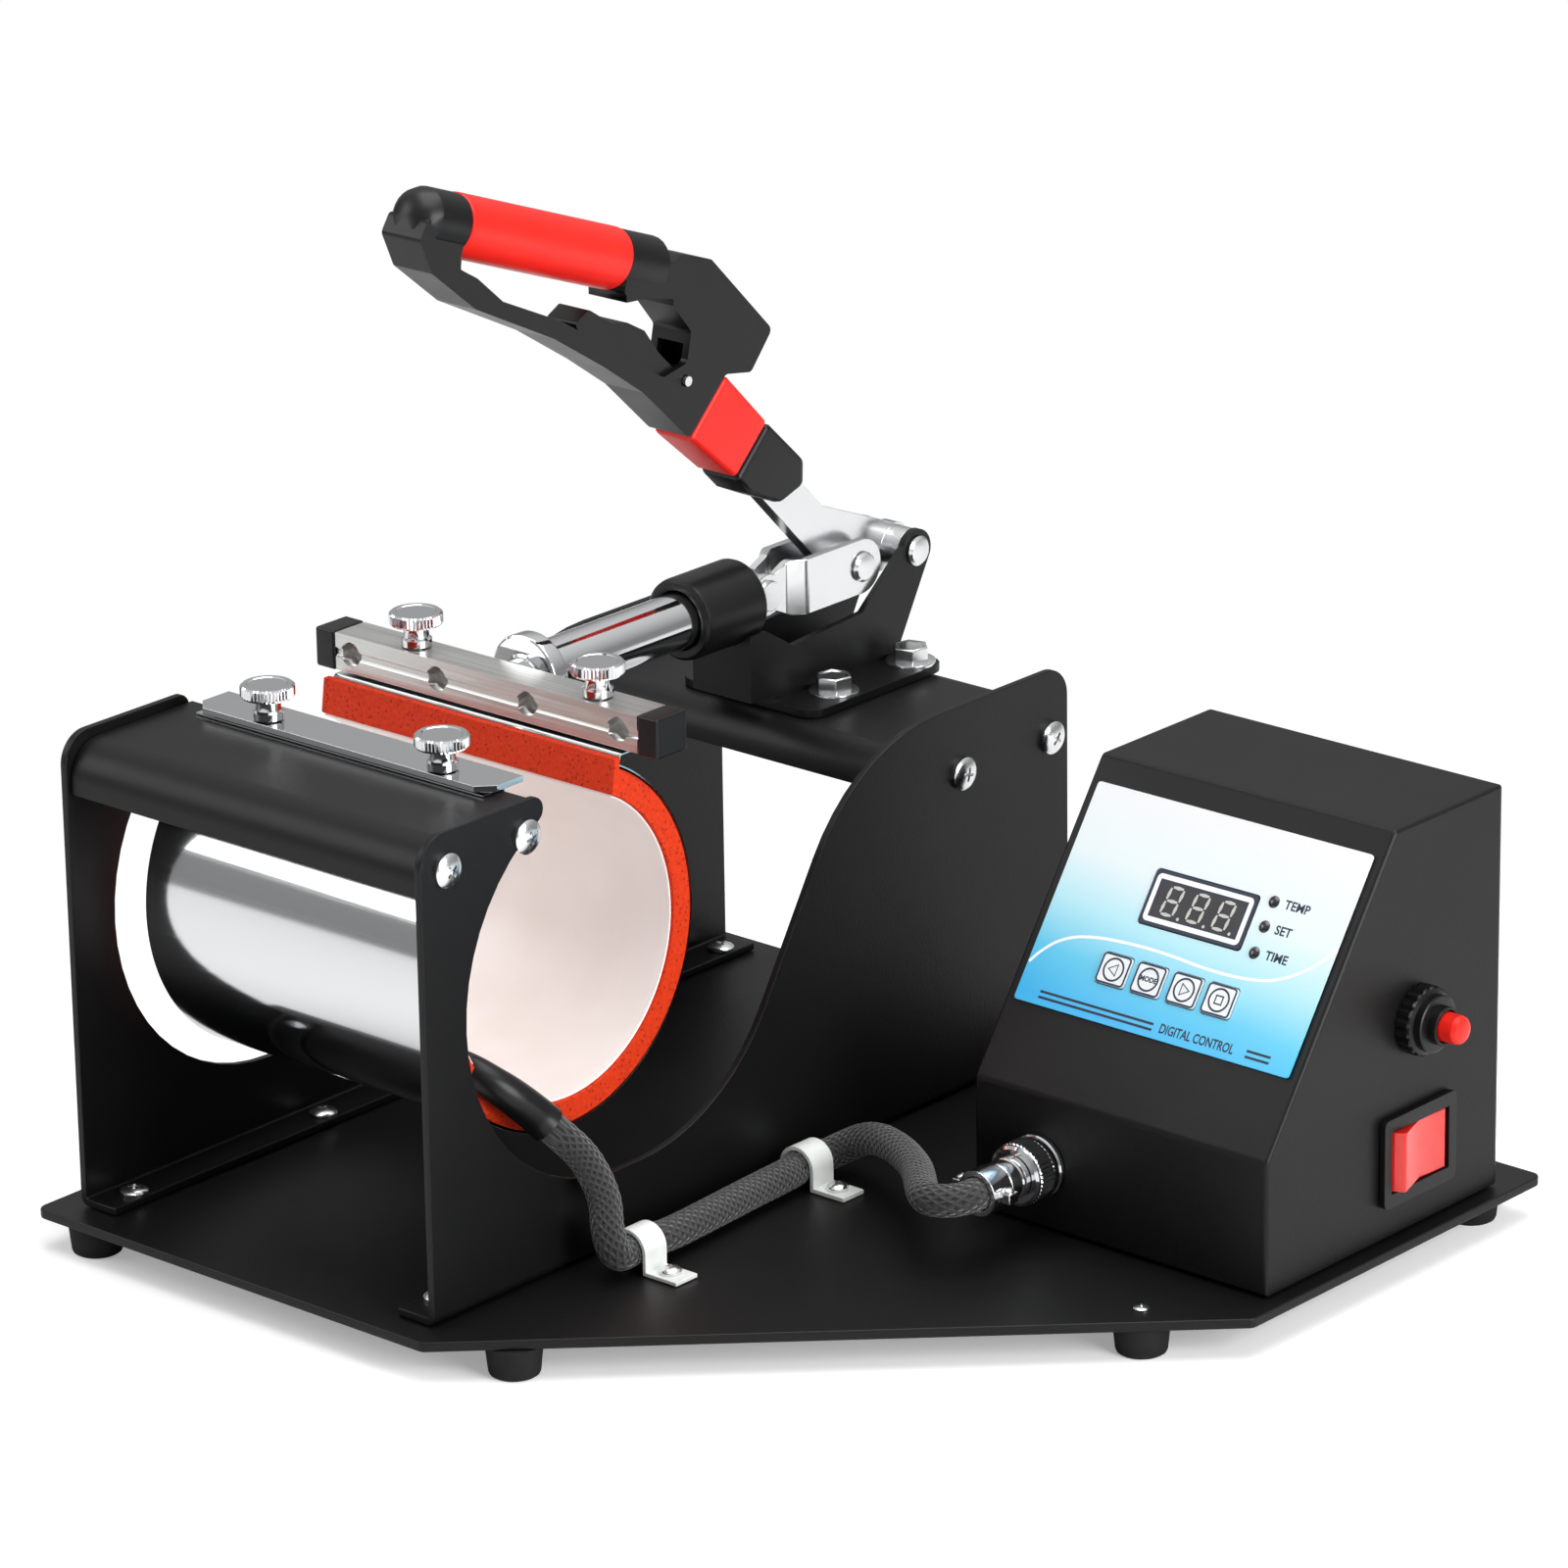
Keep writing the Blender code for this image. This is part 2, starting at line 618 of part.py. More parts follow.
def make_clamp_strip():
    loop = [
        (STRIP_LEFT_X + STRIP_CHAMFER, STRIP_FRONT_Y),
        (STRIP_RIGHT_X - STRIP_CHAMFER, STRIP_FRONT_Y),
        (STRIP_RIGHT_X, STRIP_FRONT_Y + STRIP_CHAMFER),
        (STRIP_RIGHT_X, STRIP_BACK_Y),
        (STRIP_LEFT_X, STRIP_BACK_Y),
        (STRIP_LEFT_X, STRIP_FRONT_Y + STRIP_CHAMFER),
    ]
    holes = [arc((x, FRONT_THUMB_Y), SHANK_HOLE, 0, 342) for x in FRONT_THUMB_XS]
    mesh = outline_mesh([loop] + holes, STRIP_WALL)
    new_piece("front_clamp_strip", mesh, "bright_steel", (0, 0, (STRIP_LOW_Z + STRIP_TOP_Z) / 2))


# Thumb screws: knurled head, shouldered neck and plain shank, each turning on its own axis
THUMB_HEAD_RADIUS = 0.0079
THUMB_HEAD_HEIGHT = 0.0038
THUMB_NECK_RADIUS = 0.0038
THUMB_SHOULDER_RADIUS = 0.0045
THUMB_SHOULDER_HEIGHT = 0.0018
THUMB_NECK_HEIGHT = 0.0066
THUMB_CHAMFER = 0.0006
THUMB_FRONT_REACH = 0.0080
THUMB_REAR_REACH = 0.0132


def thumb_profile(reach):
    top = THUMB_NECK_HEIGHT + THUMB_HEAD_HEIGHT
    return [
        (0, top),
        (THUMB_HEAD_RADIUS - THUMB_CHAMFER, top),
        (THUMB_HEAD_RADIUS, top - THUMB_CHAMFER),
        (THUMB_HEAD_RADIUS, THUMB_NECK_HEIGHT + THUMB_CHAMFER),
        (THUMB_HEAD_RADIUS - THUMB_CHAMFER, THUMB_NECK_HEIGHT),
        (THUMB_NECK_RADIUS, THUMB_NECK_HEIGHT),
        (THUMB_NECK_RADIUS, THUMB_SHOULDER_HEIGHT + THUMB_CHAMFER),
        (THUMB_SHOULDER_RADIUS, THUMB_SHOULDER_HEIGHT),
        (THUMB_SHOULDER_RADIUS, 0),
        (SHANK_RADIUS, 0),
        (SHANK_RADIUS, -reach),
        (0, -reach),
    ]


def make_thumb_screws(plunger_hub):
    front_z = STRIP_TOP_Z + GAP
    rear_z = BAR_LOW_Z + BAR_HEIGHT + GAP
    rows = (
        ("front", FRONT_THUMB_XS, FRONT_THUMB_Y, front_z, THUMB_FRONT_REACH, None),
        ("rear", BAR_THUMB_XS, BAR_THUMB_Y, rear_z, THUMB_REAR_REACH, plunger_hub),
    )
    for row, xs, y, z, reach, parent in rows:
        for side, x in zip(("left", "right"), xs):
            name = "thumb_screw_%s_%s" % (row, side)
            new_turned(name, thumb_profile(reach), "bright_steel", (x, y, z), parent=parent, steps=SMALL_STEPS)


# Clamp bar: grooved aluminium bar with four blind front holes and plastic end caps
BAR_LEFT_X = 0.0112
BAR_RIGHT_X = 0.1288
GROOVE_SHARES = (0.34, 0.62)
GROOVE_DEPTH = 0.0008
EYE_RADIUS = 0.0038
EYE_DEPTH = 0.0050
EYE_XS = (0.0171, 0.0513, 0.0864, 0.1212)
EYE_Z = BAR_LOW_Z + BAR_HEIGHT / 2
CAP_LENGTH = 0.0075
CAP_PROUD = 0.0004
CAP_SOFTNESS = 0.0008


def make_clamp_bar(plunger_hub):
    back_y = BAR_FRONT_Y + BAR_DEPTH
    top_z = BAR_LOW_Z + BAR_HEIGHT
    groove = [BAR_LOW_Z + share * BAR_HEIGHT for share in GROOVE_SHARES]
    loop = [
        (back_y, BAR_LOW_Z),
        (back_y, top_z),
        (BAR_FRONT_Y, top_z),
        (BAR_FRONT_Y, groove[1]),
        (BAR_FRONT_Y + GROOVE_DEPTH, groove[1] - GROOVE_DEPTH),
        (BAR_FRONT_Y + GROOVE_DEPTH, groove[0] + GROOVE_DEPTH),
        (BAR_FRONT_Y, groove[0]),
        (BAR_FRONT_Y, BAR_LOW_Z),
    ]
    middle_x = (BAR_LEFT_X + BAR_RIGHT_X) / 2
    bar = new_piece("rear_clamp_bar", outline_mesh([loop], BAR_RIGHT_X - BAR_LEFT_X), "aluminium",
                    (middle_x, 0, 0), SIDE_VIEW, plunger_hub)
    for count, x in enumerate(EYE_XS):
        mesh = cylinder_mesh(EYE_RADIUS, 2 * EYE_DEPTH)
        cut(bar, new_cutter("bar_eye_%d" % count, mesh, (x, BAR_FRONT_Y, EYE_Z), ALONG_Y, plunger_hub))
    for count, x in enumerate(BAR_THUMB_XS):
        mesh = cylinder_mesh(SHANK_HOLE, BAR_HEIGHT + 2 * OVERRUN)
        cut(bar, new_cutter("bar_hole_%d" % count, mesh, (x, BAR_THUMB_Y, EYE_Z), parent=plunger_hub))
    size = (CAP_LENGTH, BAR_DEPTH + 2 * CAP_PROUD, BAR_HEIGHT + 2 * CAP_PROUD)
    for side, x in (("left", BAR_LEFT_X - GAP - CAP_LENGTH / 2), ("right", BAR_RIGHT_X + GAP + CAP_LENGTH / 2)):
        place = (x, BAR_FRONT_Y + BAR_DEPTH / 2, EYE_Z)
        cap = new_piece("bar_cap_" + side, block_mesh(size), "black_plastic", place, parent=plunger_hub)
        soften(cap, CAP_SOFTNESS)


# Plunger: nose, pressure disc, chrome rod and the flat tongue that the links hold
PUSH_PIN_Y = PIVOT_Y - CRANK_LENGTH - LINK_LENGTH
LINK_PIN_Y = PIVOT_Y - CRANK_LENGTH
NOSE_START_Y = BAR_FRONT_Y + BAR_DEPTH + GAP
PLUNGER_NOSE_RADIUS = 0.0060
DISC_FRONT_Y = 0.1164
DISC_THICKNESS = 0.0058
DISC_RADIUS = 0.0126
DISC_CHAMFER = 0.0010
ROD_RADIUS = 0.0084
LINK_EYE_RADIUS = 0.0065
ROD_END_Y = PUSH_PIN_Y - LINK_EYE_RADIUS - 0.0095
TONGUE_WIDTH = 0.0052
TONGUE_HEIGHT = 0.0120


def make_plunger(plunger_hub):
    length = ROD_END_Y - NOSE_START_Y
    disc = DISC_FRONT_Y - NOSE_START_Y
    profile = [
        (0, length),
        (ROD_RADIUS - DISC_CHAMFER, length),
        (ROD_RADIUS, length - DISC_CHAMFER),
        (ROD_RADIUS, disc + DISC_THICKNESS),
        (DISC_RADIUS - DISC_CHAMFER, disc + DISC_THICKNESS),
        (DISC_RADIUS, disc + DISC_THICKNESS - DISC_CHAMFER),
        (DISC_RADIUS, disc + DISC_CHAMFER),
        (DISC_RADIUS - DISC_CHAMFER, disc),
        (PLUNGER_NOSE_RADIUS, disc),
        (PLUNGER_NOSE_RADIUS, 0),
        (0, 0),
    ]
    rod = new_turned("plunger_rod", profile, "bright_steel", (CLAMP_X, NOSE_START_Y, CLAMP_AXIS_Z),
                     ALONG_Y, plunger_hub)
    start_y = ROD_END_Y - TONGUE_HEIGHT
    end_y = PUSH_PIN_Y + LINK_EYE_RADIUS
    loop = rounded(rectangle(start_y, CLAMP_AXIS_Z - TONGUE_HEIGHT / 2, end_y, CLAMP_AXIS_Z + TONGUE_HEIGHT / 2),
                   TONGUE_HEIGHT / 3)
    tongue = outline_mesh([loop], TONGUE_WIDTH)
    join(rod, new_cutter("tongue", tongue, (CLAMP_X, 0, 0), SIDE_VIEW, plunger_hub))


# Clamp base: foot plate, saddle for the guide sleeve and two walls that rise to the pivot ears
FOOT_PLATE_WALL = 0.0025
FOOT_PLATE_HALF = 0.0270
FOOT_PLATE_FRONT_Y = 0.2110
FOOT_PLATE_BACK_Y = 0.2720
FOOT_PLATE_CORNER = 0.0060
FOOT_PLATE_LOW_Z = BRIDGE_TOP + GAP
FOOT_PLATE_TOP_Z = FOOT_PLATE_LOW_Z + FOOT_PLATE_WALL
CHEEK_INNER = 0.0092
CHEEK_WALL = 0.0022
CHEEK_FRONT_Y = 0.2010
SADDLE_TOP_Z = 0.1360
SADDLE_LOW_Z = FOOT_PLATE_TOP_Z + 0.0020
SADDLE_BACK_Y = 0.2080
CHEEK_DIP_Z = 0.1285
CHEEK_DIP_YS = (0.2200, 0.2600)
EAR_RADIUS = 0.0065
SLEEVE_FRONT_Y = 0.1820
SLEEVE_BACK_Y = 0.2085
SLEEVE_RADIUS = 0.0125
PIN_RADIUS = 0.0030
PIN_HOLE = PIN_RADIUS + GAP


def cheek_outline():
    pivot = (PIVOT_Y, CLAMP_AXIS_Z)
    low = FOOT_PLATE_TOP_Z - FOOT_PLATE_WALL / 2
    points = [
        (FOOT_PLATE_FRONT_Y, low),
        (FOOT_PLATE_FRONT_Y, SADDLE_LOW_Z),
        (CHEEK_FRONT_Y, SADDLE_LOW_Z),
        (CHEEK_FRONT_Y, SADDLE_TOP_Z),
        (SADDLE_BACK_Y, SADDLE_TOP_Z),
        (CHEEK_DIP_YS[0], CHEEK_DIP_Z),
        (CHEEK_DIP_YS[1], CHEEK_DIP_Z),
    ]
    points = points + arc(pivot, EAR_RADIUS, 160, -20)
    points += [(FOOT_PLATE_BACK_Y - FOOT_PLATE_CORNER, low)]
    return points


def make_clamp_base():
    loop = rounded(rectangle(CLAMP_X - FOOT_PLATE_HALF, FOOT_PLATE_FRONT_Y,
                             CLAMP_X + FOOT_PLATE_HALF, FOOT_PLATE_BACK_Y), FOOT_PLATE_CORNER)
    middle_z = (FOOT_PLATE_LOW_Z + FOOT_PLATE_TOP_Z) / 2
    base = new_piece("clamp_base", outline_mesh([loop], FOOT_PLATE_WALL), "powder_coat", (0, 0, middle_z))
    for side in (-1, 1):
        x = CLAMP_X + side * (CHEEK_INNER + CHEEK_WALL / 2)
        cheek = outline_mesh([cheek_outline()], CHEEK_WALL)
        join(base, new_cutter("cheek_%d" % side, cheek, (x, 0, 0), SIDE_VIEW))
    saddle = rectangle(CHEEK_FRONT_Y, SADDLE_LOW_Z, SADDLE_BACK_Y, SADDLE_TOP_Z)
    mesh = outline_mesh([saddle], 2 * CHEEK_INNER + CHEEK_WALL)
    join(base, new_cutter("saddle", mesh, (CLAMP_X, 0, 0), SIDE_VIEW))
    seat = cylinder_mesh(SLEEVE_RADIUS + GAP, 2 * (SLEEVE_BACK_Y - SLEEVE_FRONT_Y), ROUND_STEPS)
    cut(base, new_cutter("sleeve_seat", seat, (CLAMP_X, CHEEK_FRONT_Y, CLAMP_AXIS_Z), ALONG_Y))
    bore = cylinder_mesh(PIN_HOLE, 2 * FOOT_PLATE_HALF)
    cut(base, new_cutter("ear_bore", bore, (CLAMP_X, PIVOT_Y, CLAMP_AXIS_Z), ALONG_X))
    cut(base, *bolt_cutters("clamp_base"))


# Guide sleeve: thick black tube with a rolled front edge
SLEEVE_BORE = ROD_RADIUS + GAP
SLEEVE_EDGE = 0.0020


def make_guide_sleeve():
    length = SLEEVE_BACK_Y - SLEEVE_FRONT_Y
    profile = [
        (SLEEVE_BORE, length),
        (SLEEVE_RADIUS - SLEEVE_EDGE, length),
        (SLEEVE_RADIUS, length - SLEEVE_EDGE),
        (SLEEVE_RADIUS, SLEEVE_EDGE),
        (SLEEVE_RADIUS - SLEEVE_EDGE, 0),
        (SLEEVE_BORE, 0),
    ]
    new_turned("guide_sleeve", profile, "black_plastic", (CLAMP_X, SLEEVE_FRONT_Y, CLAMP_AXIS_Z),
               ALONG_Y, closed=True)


# Pins: the fixed pivot in the ears and the link pin in the lever's crank
PIN_HEAD_RADIUS = 0.0046
PIN_HEAD_HEIGHT = 0.0016


def pin_profile(half_grip):
    top = half_grip + GAP
    return [
        (0, top + PIN_HEAD_HEIGHT),
        (PIN_RADIUS, top + PIN_HEAD_HEIGHT),
        (PIN_HEAD_RADIUS, top + PIN_HEAD_HEIGHT / 2),
        (PIN_HEAD_RADIUS, top),
        (PIN_RADIUS, top),
        (PIN_RADIUS, -top),
        (PIN_HEAD_RADIUS, -top),
        (PIN_HEAD_RADIUS, -top - PIN_HEAD_HEIGHT / 2),
        (PIN_RADIUS, -top - PIN_HEAD_HEIGHT),
        (0, -top - PIN_HEAD_HEIGHT),
    ]


# Links: two stamped plates, close together at the tongue and joggled outward round the crank
LINK_WALL = 0.0024
LINK_NARROW = TONGUE_WIDTH / 2 + GAP
LINK_WIDE = CHEEK_INNER - GAP - LINK_WALL
LINK_HALF_HEIGHT = 0.0085
JOGGLE_YS = (PUSH_PIN_Y + 0.0085, PUSH_PIN_Y + 0.0140)
SHOULDER_YS = (PUSH_PIN_Y + 0.0055, PUSH_PIN_Y + 0.0095)


def link_outline():
    push = (PUSH_PIN_Y, CLAMP_AXIS_Z)
    pull = (LINK_PIN_Y, CLAMP_AXIS_Z)
    points = arc(push, LINK_EYE_RADIUS, 300, 60)
    points += [(SHOULDER_YS[1], CLAMP_AXIS_Z + LINK_HALF_HEIGHT)]
    points += arc(pull, LINK_HALF_HEIGHT, 90, -90)
    points += [(SHOULDER_YS[1], CLAMP_AXIS_Z - LINK_HALF_HEIGHT)]
    return points


def make_link(name, side, link_hub):
    near = LINK_NARROW + LINK_WALL / 2
    far = LINK_WIDE + LINK_WALL / 2
    start_y = PUSH_PIN_Y - LINK_EYE_RADIUS - OVERRUN
    end_y = LINK_PIN_Y + LINK_HALF_HEIGHT + OVERRUN
    path = [(near, start_y), (near, JOGGLE_YS[0]), (far, JOGGLE_YS[1]), (far, end_y)]
    path = [(CLAMP_X + side * x, y) for x, y in rounded(path, LINK_WALL, closed=False)]
    strip = outline_mesh([sheet_outline(path, LINK_WALL)], 2 * LINK_HALF_HEIGHT + 2 * OVERRUN)
    link = new_piece(name, strip, "plated_steel", (0, 0, CLAMP_AXIS_Z), parent=link_hub)
    trim = outline_mesh([link_outline()], 4 * CHEEK_INNER)
    keep_inside(link, new_cutter(name + "_trim", trim, (CLAMP_X, 0, 0), SIDE_VIEW, link_hub))
    bore = cylinder_mesh(PIN_HOLE, 4 * CHEEK_INNER)
    cut(link, new_cutter(name + "_bore", bore, (CLAMP_X, LINK_PIN_Y, CLAMP_AXIS_Z), ALONG_X, link_hub))
    head = cylinder_mesh(PIN_HEAD_RADIUS, LINK_WALL)
    head_x = CLAMP_X + side * (LINK_NARROW + LINK_WALL + PIN_HEAD_HEIGHT - LINK_WALL / 2)
    join(link, new_cutter(name + "_rivet", head, (head_x, PUSH_PIN_Y, CLAMP_AXIS_Z), ALONG_X, link_hub))


# Lever bar: flat crank from the fixed pivot to the link pin, then the straight stem of the handle
HANDLE_REACH = 0.1860
HANDLE_RISE = 0.1470
COLLAR_END_SHARES = (0.343595, 0.450199)
COLLAR_RUN = COLLAR_END_SHARES[0] * HANDLE_REACH
COLLAR_RISE = COLLAR_END_SHARES[1] * HANDLE_RISE
COLLAR_END = math.hypot(COLLAR_RUN, COLLAR_RISE)
STEM_DEGREES = math.degrees(math.atan2(COLLAR_RISE, COLLAR_RUN))
STEM_ALONG = (-math.cos(math.radians(STEM_DEGREES)), math.sin(math.radians(STEM_DEGREES)))
STEM_ACROSS = (math.sin(math.radians(STEM_DEGREES)), math.cos(math.radians(STEM_DEGREES)))
LEVER_WALL = 0.0050
LEVER_WIDTH = 0.0130
LEVER_END = 0.0600
CRANK_RADIUS = 0.0070
CRANK_BOSS_HALF = LINK_WIDE - GAP
PIVOT_BOSS_HALF = CHEEK_INNER - GAP
FERRULE_START = 0.0390
FERRULE_END = 0.0660
FERRULE_WIDTH = 0.0190


# A place on the handle's stem: distance from the link pin along it, and across it
def stem_point(along, across):
    y = LINK_PIN_Y + along * STEM_ALONG[0] + across * STEM_ACROSS[0]
    z = CLAMP_AXIS_Z + along * STEM_ALONG[1] + across * STEM_ACROSS[1]
    return (y, z)


def make_lever_bar(lever_hub):
    half = LEVER_WIDTH / 2
    stem_angle = 180 - STEM_DEGREES
    loop = [stem_point(LEVER_END, -half), stem_point(LEVER_END, half)]
    loop += [stem_point(CRANK_LENGTH, half)]
    loop += arc((PIVOT_Y, CLAMP_AXIS_Z), CRANK_RADIUS, 90, -90)
    loop += arc((LINK_PIN_Y, CLAMP_AXIS_Z), half, 270, stem_angle + 90)
    place = (CLAMP_X, 0, 0)
    bar = new_piece("lever_bar", outline_mesh([loop], LEVER_WALL), "plated_steel", place, SIDE_VIEW, lever_hub)
    for name, y, boss_half in (("crank", LINK_PIN_Y, CRANK_BOSS_HALF), ("pivot", PIVOT_Y, PIVOT_BOSS_HALF)):
        boss = cylinder_mesh(half - GAP, 2 * boss_half)
        join(bar, new_cutter(name + "_boss", boss, (CLAMP_X, y, CLAMP_AXIS_Z), ALONG_X, lever_hub))
        bore = cylinder_mesh(PIN_HOLE, 4 * boss_half)
        cut(bar, new_cutter(name + "_bore", bore, (CLAMP_X, y, CLAMP_AXIS_Z), ALONG_X, lever_hub))


# Ferrule and collar: moulded blocks that join the flat stem to the handle
FERRULE_SHARES = ((0.0, 0.23), (0.19, 0.50), (1.0, 0.46), (1.0, -0.54), (0.67, -0.53), (0.19, -0.28))
FERRULE_HEIGHT = 0.0200
FERRULE_SOFTNESS = 0.0018
COLLAR_FLARE = 0.0025


def make_ferrule(lever_hub):
    length = FERRULE_END - FERRULE_START
    loop = [stem_point(FERRULE_START + along * length, across * FERRULE_HEIGHT)
            for along, across in FERRULE_SHARES]
    mesh = outline_mesh([loop], FERRULE_WIDTH)
    ferrule = new_piece("handle_ferrule", mesh, "black_plastic", (CLAMP_X, 0, 0), SIDE_VIEW, lever_hub)
    soften(ferrule, FERRULE_SOFTNESS)
    half = LEVER_WIDTH / 2 + GAP
    start = FERRULE_START - FERRULE_HEIGHT
    end = LEVER_END + GAP
    slot = [stem_point(start, -half), stem_point(start, half), stem_point(end, half), stem_point(end, -half)]
    mesh = outline_mesh([slot], LEVER_WALL + 2 * GAP)
    cut(ferrule, new_cutter("ferrule_slot", mesh, (CLAMP_X, 0, 0), SIDE_VIEW, lever_hub))


def make_collar(lever_hub):
    start = FERRULE_END + GAP
    top = FERRULE_SHARES[2][1] * FERRULE_HEIGHT
    bottom = FERRULE_SHARES[3][1] * FERRULE_HEIGHT
    loop = [stem_point(start, top), stem_point(COLLAR_END, top),
            stem_point(COLLAR_END, bottom - COLLAR_FLARE), stem_point(start, bottom)]
    mesh = outline_mesh([loop], FERRULE_WIDTH + COLLAR_FLARE / 2)
    collar = new_piece("handle_collar", mesh, "red_plastic", (CLAMP_X, 0, 0), SIDE_VIEW, lever_hub)
    soften(collar, FERRULE_SOFTNESS)


# Handle frame: D-shaped moulding with a round grip core, a channelled lower limb and a latch pocket
FRAME_WIDTH = 0.0180
FRAME_SOFTNESS = 0.0020
GRIP_REAR_SHARES = (0.430, 0.739)
GRIP_FRONT_SHARES = (0.983945, 1.001061)
GRIP_RUN = (GRIP_FRONT_SHARES[0] - GRIP_REAR_SHARES[0]) * HANDLE_REACH
GRIP_RISE = (GRIP_FRONT_SHARES[1] - GRIP_REAR_SHARES[1]) * HANDLE_RISE
GRIP_LENGTH = math.hypot(GRIP_RUN, GRIP_RISE)
GRIP_DEGREES = math.degrees(math.atan2(GRIP_RISE, GRIP_RUN))
GRIP_RADIUS = 0.01075
GRIP_CORE_RADIUS = 0.0095
GRIP_NOSE_SHARES = ((0.0, 0.0), (0.56, 0.07), (0.86, 0.38), (1.0, 0.80))
SLEEVE_START = 0.0190
SLEEVE_FRONT_GAP = 0.0215
SLEEVE_END = GRIP_LENGTH - SLEEVE_FRONT_GAP
SLEEVE_WALL = 0.0012
CHANNEL_WIDTH = 0.0120
FRAME_OUTER_SHARES = (
    (1.000, 0.952), (0.957, 0.883), (0.866, 0.788), (0.696, 0.680), (0.585, 0.590), (0.500, 0.514),
)
FRAME_REAR_SHARES = (
    (0.250, 0.482), (0.199, 0.556), (0.337, 0.737), (0.403, 0.7755), (0.445, 0.746), (0.974, 0.996),
)
FRAME_INNER_SHARES = (
    (0.887, 0.922), (0.900, 0.878), (0.860, 0.847), (0.806, 0.786), (0.683, 0.713), (0.570, 0.626),
    (0.495, 0.561), (0.452, 0.531), (0.398, 0.544), (0.387, 0.605), (0.430, 0.673), (0.495, 0.689),
    (0.543, 0.7095), (0.530, 0.7536),
)
CHANNEL_SHARES = (
    (0.855, 0.813), (0.692, 0.701), (0.579, 0.611), (0.497, 0.541), (0.430, 0.4796), (0.395, 0.473),
    (0.363, 0.5136), (0.376, 0.571), (0.478, 0.626), (0.565, 0.687), (0.683, 0.762), (0.839, 0.8435),
)
LATCH_SHARES = (
    (0.419, 0.489), (0.398, 0.487), (0.385, 0.510), (0.392, 0.533), (0.419, 0.537), (0.452, 0.578),
    (0.484, 0.633), (0.522, 0.660), (0.559, 0.670), (0.608, 0.711), (0.640, 0.690), (0.624, 0.660),
    (0.578, 0.6245), (0.495, 0.553), (0.452, 0.512),
)
LATCH_PIVOT_SHARES = (0.403, 0.510)
LATCH_PIN_RADIUS = 0.0015
LATCH_SOFTNESS = 0.0012


# A place on the handle: forward and upward shares of its reach and rise from the link pin
def handle_point(shares):
    return (LINK_PIN_Y - shares[0] * HANDLE_REACH, CLAMP_AXIS_Z + shares[1] * HANDLE_RISE)


def grip_turn():
    return (math.radians(90 - GRIP_DEGREES), 0, 0)


def grip_place():
    y, z = handle_point(GRIP_REAR_SHARES)
    return (CLAMP_X, y, z)


def along_grip(distance):
    x, y, z = grip_place()
    tilt = math.radians(GRIP_DEGREES)
    return (x, y - distance * math.cos(tilt), z + distance * math.sin(tilt))


def grip_core_profile():
    profile = []
    for radius_share, drop_share in GRIP_NOSE_SHARES:
        profile.append((radius_share * GRIP_RADIUS, GRIP_LENGTH - drop_share * GRIP_RADIUS))
    profile += [
        (GRIP_RADIUS, SLEEVE_END + GAP),
        (GRIP_CORE_RADIUS, SLEEVE_END + GAP),
        (GRIP_CORE_RADIUS, SLEEVE_START - GAP),
        (GRIP_RADIUS, SLEEVE_START - GAP),
        (GRIP_RADIUS, GRIP_RADIUS / 4),
        (GRIP_RADIUS / 2, -GRIP_RADIUS / 4),
        (0, -GRIP_RADIUS / 4),
    ]
    return profile


def make_handle_frame(lever_hub):
    end = COLLAR_END + GAP
    top = FERRULE_SHARES[2][1] * FERRULE_HEIGHT
    bottom = FERRULE_SHARES[3][1] * FERRULE_HEIGHT - COLLAR_FLARE
    outer = [handle_point(shares) for shares in FRAME_OUTER_SHARES]
    outer += [stem_point(end, bottom), stem_point(end, top)]
    outer += [handle_point(shares) for shares in FRAME_REAR_SHARES]
    inner = [handle_point(shares) for shares in FRAME_INNER_SHARES]
    loops = [rounded(outer, FRAME_SOFTNESS), rounded(inner, FRAME_SOFTNESS)]
    mesh = outline_mesh(loops, FRAME_WIDTH)
    frame = new_piece("handle_frame", mesh, "black_plastic", (CLAMP_X, 0, 0), SIDE_VIEW, lever_hub)
    soften(frame, FRAME_SOFTNESS / 2, 1)
    room = cylinder_mesh(GRIP_CORE_RADIUS + SLEEVE_WALL + 2 * GAP, SLEEVE_END - SLEEVE_START + GAP, ROUND_STEPS)
    cut(frame, new_cutter("sleeve_room", room, along_grip((SLEEVE_START + SLEEVE_END) / 2), grip_turn(), lever_hub))
    core = new_cutter("grip_core", profile_mesh(grip_core_profile(), False), grip_place(), grip_turn(), lever_hub)
    spin(core)
    join(frame, core)
    channel = outline_mesh([[handle_point(shares) for shares in CHANNEL_SHARES]], CHANNEL_WIDTH)
    cut(frame, new_cutter("limb_channel", channel, (CLAMP_X, 0, 0), SIDE_VIEW, lever_hub))
    y, z = handle_point(LATCH_PIVOT_SHARES)
    bore = cylinder_mesh(LATCH_PIN_RADIUS + GAP, 2 * FRAME_WIDTH)
    cut(frame, new_cutter("latch_bore", bore, (CLAMP_X, y, z), ALONG_X, lever_hub))


def make_grip_sleeve(lever_hub):
    inner = GRIP_CORE_RADIUS + GAP
    outer = inner + SLEEVE_WALL
    profile = [(inner, SLEEVE_END), (outer, SLEEVE_END), (outer, SLEEVE_START), (inner, SLEEVE_START)]
    new_turned("grip_sleeve", profile, "red_plastic", grip_place(), grip_turn(), lever_hub, closed=True)


